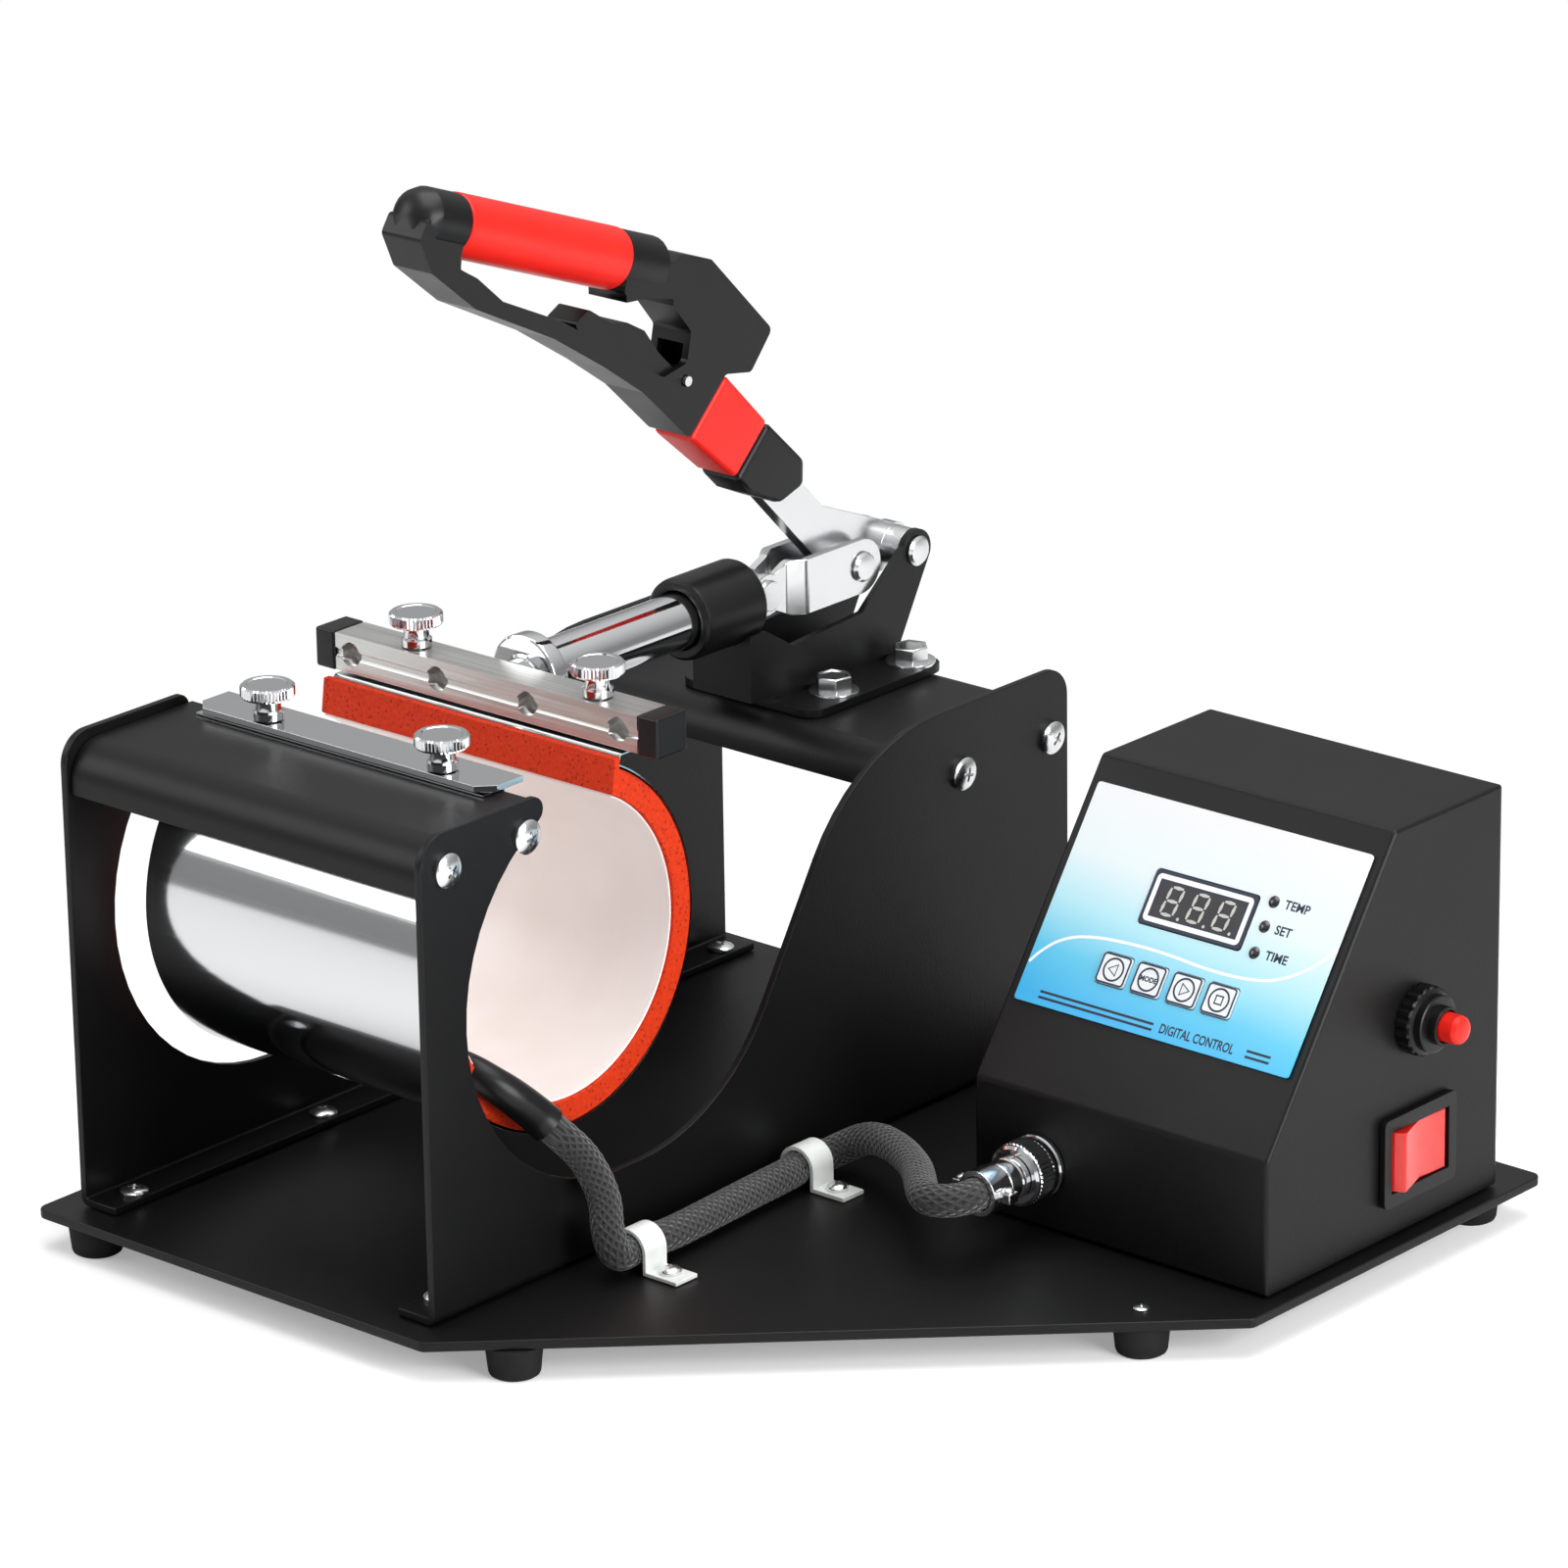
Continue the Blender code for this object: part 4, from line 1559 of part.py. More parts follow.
def make_clamp():
    lever_hub = new_hub("lever_pivot", (CLAMP_X, PIVOT_Y, CLAMP_AXIS_Z), PRESS)
    link_hub = new_hub("link_pivot", (CLAMP_X, LINK_PIN_Y, CLAMP_AXIS_Z), lever_hub)
    latch_y, latch_z = handle_point(LATCH_PIVOT_SHARES)
    latch_hub = new_hub("latch_pivot", (CLAMP_X, latch_y, latch_z), lever_hub)
    plunger_hub = new_hub("plunger_slide", (CLAMP_X, PUSH_PIN_Y, CLAMP_AXIS_Z), PRESS)
    make_clamp_base()
    make_guide_sleeve()
    new_turned("pivot_pin", pin_profile(CHEEK_INNER + CHEEK_WALL), "plated_steel",
               (CLAMP_X, PIVOT_Y, CLAMP_AXIS_Z), ALONG_X, steps=SMALL_STEPS)
    new_turned("link_pin", pin_profile(CHEEK_INNER - GAP), "plated_steel",
               (CLAMP_X, LINK_PIN_Y, CLAMP_AXIS_Z), ALONG_X, lever_hub, steps=SMALL_STEPS)
    make_link("link_left", -1, link_hub)
    make_link("link_right", 1, link_hub)
    make_lever_bar(lever_hub)
    make_ferrule(lever_hub)
    make_collar(lever_hub)
    make_handle_frame(lever_hub)
    make_grip_sleeve(lever_hub)
    make_latch(latch_hub, lever_hub)
    make_plunger(plunger_hub)
    make_clamp_bar(plunger_hub)
    make_band(plunger_hub)
    make_thumb_screws(plunger_hub)


make_base_plate()
make_feet()
make_side_plate("side_plate_left", 0, 1)
make_side_plate("side_plate_right", PLATE_SPACING, -1)
make_front_cover()
make_rear_cover()
make_clamp_strip()
make_clamp()
make_lead()
make_clip("cable_clip_front", CLIP_FRONT_X, CLIP_FRONT_Y)
make_clip("cable_clip_rear", CLIP_REAR_X, CLIP_REAR_Y)
make_connector()
make_control_box()
make_box_floor()
make_panel()
make_display()
make_keys()
make_board()
make_reset_switch()
make_power_switch()
make_mains_inlet()
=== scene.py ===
# Mug heat press in its studio: a black sheet stand that holds a flexible heater band, a push-pull toggle
# clamp with a D-shaped handle, and a sloping control box, all on one base plate.
import json
import math

import bmesh
import bpy
from mathutils import Matrix, Vector

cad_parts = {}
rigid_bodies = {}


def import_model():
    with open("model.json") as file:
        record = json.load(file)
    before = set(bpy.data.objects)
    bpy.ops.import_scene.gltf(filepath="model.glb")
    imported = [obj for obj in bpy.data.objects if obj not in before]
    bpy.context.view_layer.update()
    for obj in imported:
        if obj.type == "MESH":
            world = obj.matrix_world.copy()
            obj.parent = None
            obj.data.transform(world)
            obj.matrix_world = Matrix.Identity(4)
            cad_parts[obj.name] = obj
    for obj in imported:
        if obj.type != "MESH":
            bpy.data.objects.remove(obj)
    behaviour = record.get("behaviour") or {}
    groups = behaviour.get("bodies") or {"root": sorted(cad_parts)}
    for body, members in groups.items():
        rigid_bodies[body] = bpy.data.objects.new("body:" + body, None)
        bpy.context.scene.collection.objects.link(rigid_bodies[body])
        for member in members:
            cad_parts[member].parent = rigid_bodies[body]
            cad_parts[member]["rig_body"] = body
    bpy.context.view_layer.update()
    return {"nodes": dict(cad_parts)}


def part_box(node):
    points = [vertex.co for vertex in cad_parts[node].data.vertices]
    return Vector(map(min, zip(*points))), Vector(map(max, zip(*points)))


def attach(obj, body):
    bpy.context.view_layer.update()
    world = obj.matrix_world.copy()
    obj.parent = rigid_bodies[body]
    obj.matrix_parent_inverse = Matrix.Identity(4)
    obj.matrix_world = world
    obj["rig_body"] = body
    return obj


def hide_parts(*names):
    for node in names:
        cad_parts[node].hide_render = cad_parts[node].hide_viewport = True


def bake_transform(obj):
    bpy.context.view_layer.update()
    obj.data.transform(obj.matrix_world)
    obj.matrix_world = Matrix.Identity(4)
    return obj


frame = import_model()

# Camera: the photograph looks down on the press from its front right, with a long lens. Places are given
# in millimetres from the left side plate's lower front corner, as the press is set out in its drawing.
MM = 0.001
CAMERA_PLACE = (1540.0, -1430.6, 869.8)
CAMERA_TURN = (41.553, 19.605, -0.906)
LENS_LENGTH, SENSOR_WIDTH = 181.05, 36
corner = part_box("side_plate_left")[0]


def press(x, y, z):
    return corner + Vector((x, y, z)) * MM


def turned_camera(azimuth, elevation, roll):
    side, tip, lean = math.radians(azimuth), math.radians(elevation), math.radians(roll)
    back = Vector((math.sin(side) * math.cos(tip), -math.cos(side) * math.cos(tip), math.sin(tip)))
    right = Vector((math.cos(side), math.sin(side), 0))
    up = back.cross(right)
    across = right * math.cos(lean) + up * math.sin(lean)
    upward = up * math.cos(lean) - right * math.sin(lean)
    return Matrix((across, upward, back)).transposed().to_4x4()


studio = bpy.context.scene
lens = bpy.data.cameras.new("studio_camera")
lens.sensor_width = SENSOR_WIDTH
lens.lens = LENS_LENGTH
lens.clip_end = 20
camera = bpy.data.objects.new("studio_camera", lens)
camera.matrix_world = Matrix.Translation(press(*CAMERA_PLACE)) @ turned_camera(*CAMERA_TURN)
studio.collection.objects.link(camera)
studio.camera = camera
studio.view_settings.view_transform = "Standard"


# Studio: a white floor and surround, seen as pure white behind the press, with three broad soft lamps.
# Mirrors see the surround darker toward the horizon, so polished steel keeps its contrast.
def linear(code):
    channels = [int(code[place:place + 2], 16) / 255 for place in (0, 2, 4)]
    levels = [c / 12.92 if c <= 0.04045 else ((c + 0.055) / 1.055) ** 2.4 for c in channels]
    return levels + [1.0]


def add(tree, kind, settings=None, **inputs):
    node = tree.nodes.new(kind)
    for name, value in (settings or {}).items():
        setattr(node, name, value)
    for name, value in inputs.items():
        numbered = name[0] == "i" and name[1:].isdigit()
        socket = node.inputs[int(name[1:]) if numbered else name.replace("_", " ")]
        if isinstance(value, bpy.types.NodeSocket):
            tree.links.new(value, socket)
        else:
            socket.default_value = value
    return node


AMBIENT, FLOOR_GLOW = 0.30, 0.30
HORIZON, OVERHEAD = 0.16, 1.0
surround = bpy.data.worlds.new("studio_surround")
studio.world = surround
surround.use_nodes = True
tree = surround.node_tree
tree.nodes.clear()
path = add(tree, "ShaderNodeLightPath")
seen = add(tree, "ShaderNodeMath", {"operation": "MAXIMUM"}, i0=path.outputs["Is Camera Ray"],
           i1=path.outputs["Is Transmission Ray"])
way = add(tree, "ShaderNodeTexCoord")
height = add(tree, "ShaderNodeSeparateXYZ", Vector=way.outputs["Generated"])
rise = add(tree, "ShaderNodeMapRange", Value=height.outputs["Z"], From_Min=0.02, From_Max=0.95,
           To_Min=HORIZON, To_Max=OVERHEAD)
mirrored = add(tree, "ShaderNodeMath", {"operation": "MULTIPLY"}, i0=path.outputs["Is Glossy Ray"],
               i1=rise.outputs["Result"])
ambient = add(tree, "ShaderNodeMath", {"operation": "MAXIMUM"}, i0=mirrored.outputs[0], i1=AMBIENT)
level = add(tree, "ShaderNodeMath", {"operation": "MAXIMUM"}, i0=ambient.outputs[0], i1=seen.outputs[0])
white = add(tree, "ShaderNodeBackground", Color=(1, 1, 1, 1), Strength=level.outputs[0])
add(tree, "ShaderNodeOutputWorld", Surface=white.outputs[0])


def soft_lamp(name, place, target, width, depth, power):
    light = bpy.data.lights.new(name, "AREA")
    light.shape = "RECTANGLE"
    light.size = width
    light.size_y = depth
    light.energy = power
    lamp = bpy.data.objects.new(name, light)
    lamp.location = place
    lamp.rotation_euler = (Vector(target) - Vector(place)).to_track_quat("-Z", "Y").to_euler()
    studio.collection.objects.link(lamp)


soft_lamp("top_lamp", (0.1, 0.1, 1.5), (0, 0, 0.1), 1.4, 1.2, 17)
soft_lamp("left_lamp", (-1.2, -1.0, 0.9), (0, 0, 0.12), 0.9, 0.9, 7)
soft_lamp("right_lamp", (1.5, -0.1, 0.6), (0.1, 0, 0.1), 0.8, 1.0, 22)


def new_material(name, colour, roughness, metallic=0.0, **sockets):
    material = bpy.data.materials.new(name)
    material.use_nodes = True
    nodes = material.node_tree.nodes
    shader = nodes["Principled BSDF"]
    shader.inputs["Base Color"].default_value = linear(colour)
    shader.inputs["Roughness"].default_value = roughness
    shader.inputs["Metallic"].default_value = metallic
    for socket, value in sockets.items():
        shader.inputs[socket.replace("_", " ")].default_value = value
    return material, shader


# A mesh made in a bmesh becomes an object of the studio
def placed(name, shape):
    piece = bpy.data.objects.new(name, bpy.data.meshes.new(name))
    shape.to_mesh(piece.data)
    shape.free()
    studio.collection.objects.link(piece)
    return piece


# Matt white board: it keeps the press's shadow near by, and is plain white further off
SHADOW_NEAR, SHADOW_FAR, FLOOR_REACH = 0.20, 0.45, 9
floor_paint, shader = new_material("matt_white_floor", "FAFAFA", 0.9, Specular_IOR_Level=0.1)
tree = shader.id_data
path = add(tree, "ShaderNodeLightPath")
glow = add(tree, "ShaderNodeEmission", Color=(1, 1, 1, 1), Strength=FLOOR_GLOW)
sum_up = add(tree, "ShaderNodeAddShader", i0=shader.outputs[0], i1=glow.outputs[0])
place = add(tree, "ShaderNodeTexCoord")
reach = add(tree, "ShaderNodeVectorMath", {"operation": "LENGTH"}, i0=place.outputs["Object"])
far = add(tree, "ShaderNodeMapRange", Value=reach.outputs["Value"], From_Min=SHADOW_NEAR, From_Max=SHADOW_FAR)
plain = add(tree, "ShaderNodeEmission", Color=(1, 1, 1, 1), Strength=1.0)
spread = add(tree, "ShaderNodeMixShader", Fac=far.outputs[0], i1=sum_up.outputs[0], i2=plain.outputs[0])
pick = add(tree, "ShaderNodeMixShader", Fac=path.outputs["Is Camera Ray"], i1=shader.outputs[0],
           i2=spread.outputs[0])
tree.links.new(pick.outputs[0], tree.nodes["Material Output"].inputs["Surface"])
shape = bmesh.new()
bmesh.ops.create_grid(shape, x_segments=1, y_segments=1, size=FLOOR_REACH)
floor = placed("floor", shape)
floor.data.materials.append(floor_paint)

# Sheet parts: 2 to 3 mm cold-rolled steel, laser cut, folded and powder coated satin black. The coat has a
# fine orange-peel skin and rounds every cut edge a little.
# What a pattern does to a surface: a range of roughness, a pair of tones, or a relief given by its strength
# and its depth in millimetres
def work_in(shader, pattern, gloss=None, tones=None, relief=None):
    tree = shader.id_data
    if gloss:
        spread = add(tree, "ShaderNodeMapRange", Value=pattern, To_Min=gloss[0], To_Max=gloss[1])
        tree.links.new(spread.outputs[0], shader.inputs["Roughness"])
    if tones:
        dark, pale = linear(tones[0]), linear(tones[1])
        tone = add(tree, "ShaderNodeMix", {"data_type": "RGBA"}, Factor=pattern, A=dark, B=pale)
        tree.links.new(tone.outputs["Result"], shader.inputs["Base Color"])
    if relief:
        bump = add(tree, "ShaderNodeBump", Height=pattern, Strength=relief[0], Distance=relief[1] * MM)
        tree.links.new(bump.outputs[0], shader.inputs["Normal"])


# An uneven pattern fixed to the object, from its real spacing in millimetres, or one along each axis
def textured(shader, size, detail=2.0, **effects):
    tree = shader.id_data
    coords = add(tree, "ShaderNodeTexCoord").outputs["Object"]
    if isinstance(size, tuple):
        coords = add(tree, "ShaderNodeMapping", Vector=coords,
                     Scale=[1 / (each * MM) for each in size]).outputs[0]
        size = 1 / MM
    pattern = add(tree, "ShaderNodeTexNoise", Vector=coords, Scale=1 / (size * MM), Detail=detail)
    work_in(shader, pattern.outputs[0], **effects)


powder, shader = new_material("powder_coated_steel", "0C0C0D", 0.42, Specular_IOR_Level=0.26)
textured(shader, 0.9091, relief=(0.10, 0.4))
textured(shader, 45.45, 3.0, gloss=(0.36, 0.48))


def show(name, shape, material, body, smooth=35, replaced=()):
    piece = placed(name, shape)
    piece.data.materials.clear()
    for each in material if isinstance(material, list) else [material]:
        piece.data.materials.append(each)
    piece.data.shade_smooth()
    piece.data.set_sharp_from_angle(angle=math.radians(smooth))
    even = piece.modifiers.new("even_shading", "WEIGHTED_NORMAL")
    even.keep_sharp = True
    if body:
        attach(piece, body)
    if replaced:
        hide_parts(*replaced)
    return piece


def ease_edges(shape, radius, sharpness=38):
    bend = math.radians(sharpness)
    edges = [e for e in shape.edges if len(e.link_faces) == 2 and e.calc_face_angle(0) > bend]
    bmesh.ops.bevel(shape, geom=edges, offset=radius * MM, offset_type="OFFSET", segments=2, profile=0.5,
                    affect="EDGES", clamp_overlap=True, material=-1)


# A finer copy of a drawn part, with its flat faces whole and its cut edges eased
def carried_shape(node):
    shape = bmesh.new()
    shape.from_mesh(frame["nodes"][node].data)
    bmesh.ops.remove_doubles(shape, verts=shape.verts, dist=0.002 * MM)
    bmesh.ops.dissolve_limit(shape, angle_limit=math.radians(0.6), verts=shape.verts, edges=shape.edges)
    return shape


def carry_over(node, name, material, radius=0.0, smooth=30):
    shape = carried_shape(node)
    if radius:
        ease_edges(shape, radius)
    return show(name, shape, material, frame["nodes"][node]["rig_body"], smooth, (node,))


carry_over("base_plate", "press_base", powder, 0.5, 35)
for node, name in (("side_plate_left", "left_side"), ("side_plate_right", "right_side"),
                   ("front_cover", "front_bridge"), ("rear_cover", "rear_bridge")):
    carry_over(node, name, powder, 0.4)

# Feet: turned rubber buttons under the plate's corners, each held by a screw in its recess. The rubber is
# matt and slightly dusty.
rubber, shader = new_material("moulded_rubber", "151515", 0.85, Specular_IOR_Level=0.3)
textured(shader, 3.846, 4.0, tones=("101010", "1E1E1E"), relief=(0.2, 0.3))
UP = Matrix.Identity(4)
TO_X = Matrix.Rotation(math.pi / 2, 4, "Y")
TO_Y = Matrix.Rotation(-math.pi / 2, 4, "X")
TO_FRONT = Matrix.Rotation(math.pi / 2, 4, "X")


# A turned part: pairs of radius and height in millimetres, spun round its own axis
def turned(profile, place, along=UP, steps=72, closed=False):
    shape = bmesh.new()
    points = [shape.verts.new((radius * MM, 0, height * MM)) for radius, height in profile]
    edges = [shape.edges.new(pair) for pair in zip(points, points[1:])]
    if closed:
        edges.append(shape.edges.new((points[-1], points[0])))
    bmesh.ops.spin(shape, geom=points + edges, cent=(0, 0, 0), axis=(0, 0, 1), dvec=(0, 0, 0),
                   angle=math.tau, steps=steps, use_merge=True, use_duplicate=False)
    bmesh.ops.remove_doubles(shape, verts=shape.verts, dist=0.001 * MM)
    bmesh.ops.recalc_face_normals(shape, faces=shape.faces)
    bmesh.ops.transform(shape, matrix=Matrix.Translation(place) @ along, verts=shape.verts)
    return shape


FOOT = [(0, 9.2), (8.2, 9.2), (8.2, 8.6), (7.4, 1.1), (7.1, 0.4), (6.5, 0), (3.6, 0), (3.2, 0.4), (3.2, 4),
        (0, 4)]
for node in ("foot_front_left", "foot_front_middle", "foot_right", "foot_rear_right", "foot_rear_left"):
    low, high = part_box(node)
    place = Vector(((low.x + high.x) / 2, (low.y + high.y) / 2, low.z))
    show("rubber_" + node, turned(FOOT, place, steps=48), rubber, "stand", 30, (node,))

# Bright screws: zinc-plated steel pan heads with a cross recess. They hold the covers to the side plates,
# and the plates' flanges to the base.
plated, shader = new_material("zinc_plated_steel", "E2E3E4", 0.22, 1.0)
textured(shader, 3.333, gloss=(0.16, 0.28), relief=(0.02, 0.1))


# The finished mesh of a working object, which is then taken away
def finished(work):
    bpy.context.view_layer.update()
    ready = work.evaluated_get(bpy.context.evaluated_depsgraph_get())
    shape = bmesh.new()
    shape.from_mesh(bpy.data.meshes.new_from_object(ready))
    bpy.data.objects.remove(work)
    return shape


# A pan head with its cross recess cut by two tapered bars
def cross_head(radius, height):
    dome = [(0, height)]
    for step in range(1, 7):
        turn = step * math.pi / 14
        reach = radius * math.sin(turn) / math.sin(3 * math.pi / 7)
        dome.append((reach, height * (0.35 + 0.65 * math.cos(turn) ** 1.2)))
    dome += [(radius, height * 0.2), (radius * 0.96, 0), (0, 0)]
    head = placed("head", turned(dome, (0, 0, 0), steps=40))
    cutters = []
    for quarter in (0, 1):
        shape = bmesh.new()
        bmesh.ops.create_cube(shape, size=1)
        size = (radius * 1.15 * MM, radius * 0.24 * MM, height * 1.2 * MM)
        bmesh.ops.scale(shape, vec=size, verts=shape.verts)
        low = [v for v in shape.verts if v.co.z < 0]
        bmesh.ops.scale(shape, vec=(0.55, 0.55, 1), verts=low)
        turn = Matrix.Rotation(quarter * math.pi / 2, 3, "Z")
        bmesh.ops.rotate(shape, cent=(0, 0, 0), matrix=turn, verts=shape.verts)
        bmesh.ops.translate(shape, vec=(0, 0, height * 1.05 * MM), verts=shape.verts)
        cutter = placed("cross", shape)
        step = head.modifiers.new("cross", "BOOLEAN")
        step.operation = "DIFFERENCE"
        step.solver = "EXACT"
        step.object = cutter
        cutters.append(cutter)
    shape = finished(head)
    for cutter in cutters:
        bpy.data.objects.remove(cutter)
    return shape


def screws(name, places, along, radius, height, body="stand", material=None):
    head = cross_head(radius, height)
    seed = bpy.data.meshes.new(name + "_head")
    head.to_mesh(seed)
    head.free()
    for count, place in enumerate(places):
        shape = bmesh.new()
        shape.from_mesh(seed)
        twist = Matrix.Rotation(0.7 + 1.1 * count, 4, "Z")
        bmesh.ops.transform(shape, matrix=Matrix.Translation(place) @ along @ twist, verts=shape.verts)
        show("%s_%d" % (name, count + 1), shape, material or plated, body, 30)


SIDE_SCREWS = ((10.1, 131.8), (41.7, 132.6), (227.5, 99.6), (268.0, 99.7))
screws("right_plate_screw", [press(140.0, y, z) for y, z in SIDE_SCREWS], TO_X, 5.0, 2.7)
screws("left_plate_screw", [press(0, y, z) for y, z in SIDE_SCREWS], Matrix.Rotation(-math.pi / 2, 4, "Y"),
       5.0, 2.7)
FLANGE_YS = (11.8, 89.4, 265.0)
screws("left_flange_screw", [press(9.8, y, 2.3) for y in FLANGE_YS], UP, 4.2, 2.2)
screws("right_flange_screw", [press(130.2, y, 2.3) for y in FLANGE_YS], UP, 4.2, 2.2)
screws("foot_screw", [press(281.9, 134.4, -0.3)], UP, 2.4, 1.0)

# Heater mat: silicone rubber with the heating wire inside, orange-red with fine dark specks, on a pale
# satin inner lining. The real mat bends when the clamp closes; here it is one piece from end to end, not tied
# to the clamp.
# The specks are drawn coarser than the real ones, so that they show.
SPECK, GRAIN = 1.613, 1.111
silicone, shader = new_material("speckled_silicone_rubber", "DB3F22", 0.62, Specular_IOR_Level=0.2)
tree = shader.id_data
coords = add(tree, "ShaderNodeTexCoord")
specks = add(tree, "ShaderNodeTexVoronoi", {"feature": "F1"}, Vector=coords.outputs["Object"],
             Scale=1 / (SPECK * MM))
grain = add(tree, "ShaderNodeTexNoise", Vector=coords.outputs["Object"], Scale=1 / (GRAIN * MM), Detail=3.0)
mask = add(tree, "ShaderNodeMapRange", Value=specks.outputs["Distance"], From_Min=0.12, From_Max=0.30)
base = add(tree, "ShaderNodeMix", {"data_type": "RGBA"}, Factor=grain.outputs[0], A=linear("BE2408"),
           B=linear("E84418"))
spotted = add(tree, "ShaderNodeMix", {"data_type": "RGBA"}, Factor=mask.outputs[0], A=linear("8A1E0C"),
              B=base.outputs["Result"])
tree.links.new(spotted.outputs["Result"], shader.inputs["Base Color"])
work_in(shader, grain.outputs[0], relief=(0.35, 0.5))

lining, shader = new_material("satin_release_lining", "E9DCD8", 0.33, Specular_IOR_Level=0.5)
textured(shader, 22.22, 3.0, tones=("F3E6E1", "FDF8F6"), relief=(0.12, 0.5))

MIDDLE_X = 70
BAND_Y, BAND_Z = 72.8, 86.8
band_axis = press(0, BAND_Y, BAND_Z)
BAND_ENDS = (117.0, 423.0)
BAND_STEPS = 110


def on_band(x, radius, degrees):
    turn = math.radians(degrees)
    return press(x, BAND_Y + radius * math.cos(turn), BAND_Z + radius * math.sin(turn))


def points_of(items):
    return [item for item in items if isinstance(item, bmesh.types.BMVert)]


# The band's cross-section, an outline in X and radius, is spun round the mug's axis
def band_shape(outline, start, end):
    shape = bmesh.new()
    points = [shape.verts.new(on_band(x, radius, start)) for x, radius in outline]
    face = shape.faces.new(points)
    bmesh.ops.spin(shape, geom=[face] + list(face.edges) + points, cent=band_axis, axis=(1, 0, 0),
                   dvec=(0, 0, 0),
                   angle=math.radians(end - start), steps=BAND_STEPS, use_merge=False, use_duplicate=False)
    bmesh.ops.recalc_face_normals(shape, faces=shape.faces)
    return shape


MAT = [(11.2, 45.2), (11.2, 51.8), (12.0, 52.6), (124.2, 52.6), (125.0, 51.8), (125.0, 45.2), (124.4, 44.9),
       (11.8, 44.9)]
mat = band_shape(MAT, *BAND_ENDS)
# The mat's rear end rises as a lip to the clamp bar
MAT_INSIDE, MAT_MIDDLE = 44.9, 48.5
LIP_Y, LIP_Z, LIP_SPREAD = 94.6, 136.9, 0.3
rear_end = on_band(0, MAT_MIDDLE, BAND_ENDS[1])


def from_rear_end(face):
    middle = face.calc_center_median()
    return abs(middle.y - rear_end.y) + abs(middle.z - rear_end.z)


cap = min(mat.faces, key=from_rear_end)
grown = bmesh.ops.extrude_face_region(mat, geom=[cap])["geom"]
bmesh.ops.delete(mat, geom=[cap], context="FACES_ONLY")
for point in points_of(grown):
    depth = (Vector((point.co.y, point.co.z)) - Vector((band_axis.y, band_axis.z))).length / MM - MAT_INSIDE
    lip = press(0, LIP_Y + depth * LIP_SPREAD, LIP_Z)
    point.co.y, point.co.z = lip.y, lip.z
bmesh.ops.recalc_face_normals(mat, faces=mat.faces)
mat_piece = show("heater_mat", mat, silicone, None, 40)
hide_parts("heater_mat_front", "heater_mat_bottom", "heater_mat_rear")
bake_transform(mat_piece)
LINING = [(12.2, 44.3), (12.0, 44.6), (12.2, 44.85), (124.0, 44.85), (124.2, 44.6), (124.0, 44.3)]
lining_piece = show("mat_lining", band_shape(LINING, 118.0, 422.0), lining, None, 40)
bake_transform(lining_piece)

# Heater shell: a bright stainless strip round the mat. Its ends fold outward into the two tabs that the
# front strip and the rear bar hold. Rolling left fine lines along it, which streak its mirror.
stainless, shader = new_material("polished_stainless_steel", "DCDDDF", 0.10, 1.0)
textured(shader, (83.33, 1.111, 1.111), 3.0, gloss=(0.05, 0.14), relief=(0.04, 0.2))

SHELL_X = (12.2, 124.0)
SHELL_RADIUS, SHELL_SHEET = 53.3, 0.4
FRONT_FOLD = ((50.75, 136.6), (50.95, 137.4), (50.95, 140.2), (50.6, 140.65), (49.9, 140.7), (42.0, 140.7))
REAR_FOLD = ((97.3, 135.6), (97.8, 137.0), (98.6, 137.4), (112.0, 137.4))
shape = bmesh.new()
ends = [shape.verts.new(on_band(x, SHELL_RADIUS, BAND_ENDS[0])) for x in SHELL_X]
first = shape.edges.new(ends)
spun = bmesh.ops.spin(shape, geom=ends + [first], cent=band_axis, axis=(1, 0, 0), dvec=(0, 0, 0),
                      angle=math.radians(BAND_ENDS[1] - BAND_ENDS[0]), steps=BAND_STEPS, use_merge=False,
                      use_duplicate=False)
last = next(item for item in spun["geom_last"] if isinstance(item, bmesh.types.BMEdge))


# Folds an open edge of the sheet on along a route of Y and Z places
def fold_on(shape, edge, route):
    for y, z in route:
        grown = bmesh.ops.extrude_edge_only(shape, edges=[edge])["geom"]
        fresh = points_of(grown)
        target = press(0, y, z)
        for point in fresh:
            point.co.y, point.co.z = target.y, target.z
        edge = next(item for item in grown
                    if isinstance(item, bmesh.types.BMEdge) and all(point in fresh for point in item.verts))


fold_on(shape, first, FRONT_FOLD)
fold_on(shape, last, REAR_FOLD)
bmesh.ops.recalc_face_normals(shape, faces=shape.faces)
bmesh.ops.solidify(shape, geom=shape.faces[:], thickness=SHELL_SHEET * MM)
shell_piece = show("heater_shell", shape, stainless, None, 30)
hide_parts("heater_shell_front", "heater_shell_bottom", "heater_shell_rear")
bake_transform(shell_piece)

# Clamp strip on the front cover, a bright flat bar, and the rear clamp bar, a drawn aluminium bar with a
# groove along its front and four blind holes, closed by black end caps.
carry_over("front_clamp_strip", "clamp_strip", stainless, 0.25)
# Drawn aluminium: a silvery grey with the die's lines along the bar
aluminium, shader = new_material("drawn_aluminium", "CFCFCD", 0.30, 1.0)
textured(shader, (71.43, 0.7692, 0.7692), 4.0, gloss=(0.24, 0.46), tones=("A8A8A6", "EDEDEA"),
         relief=(0.12, 0.3))
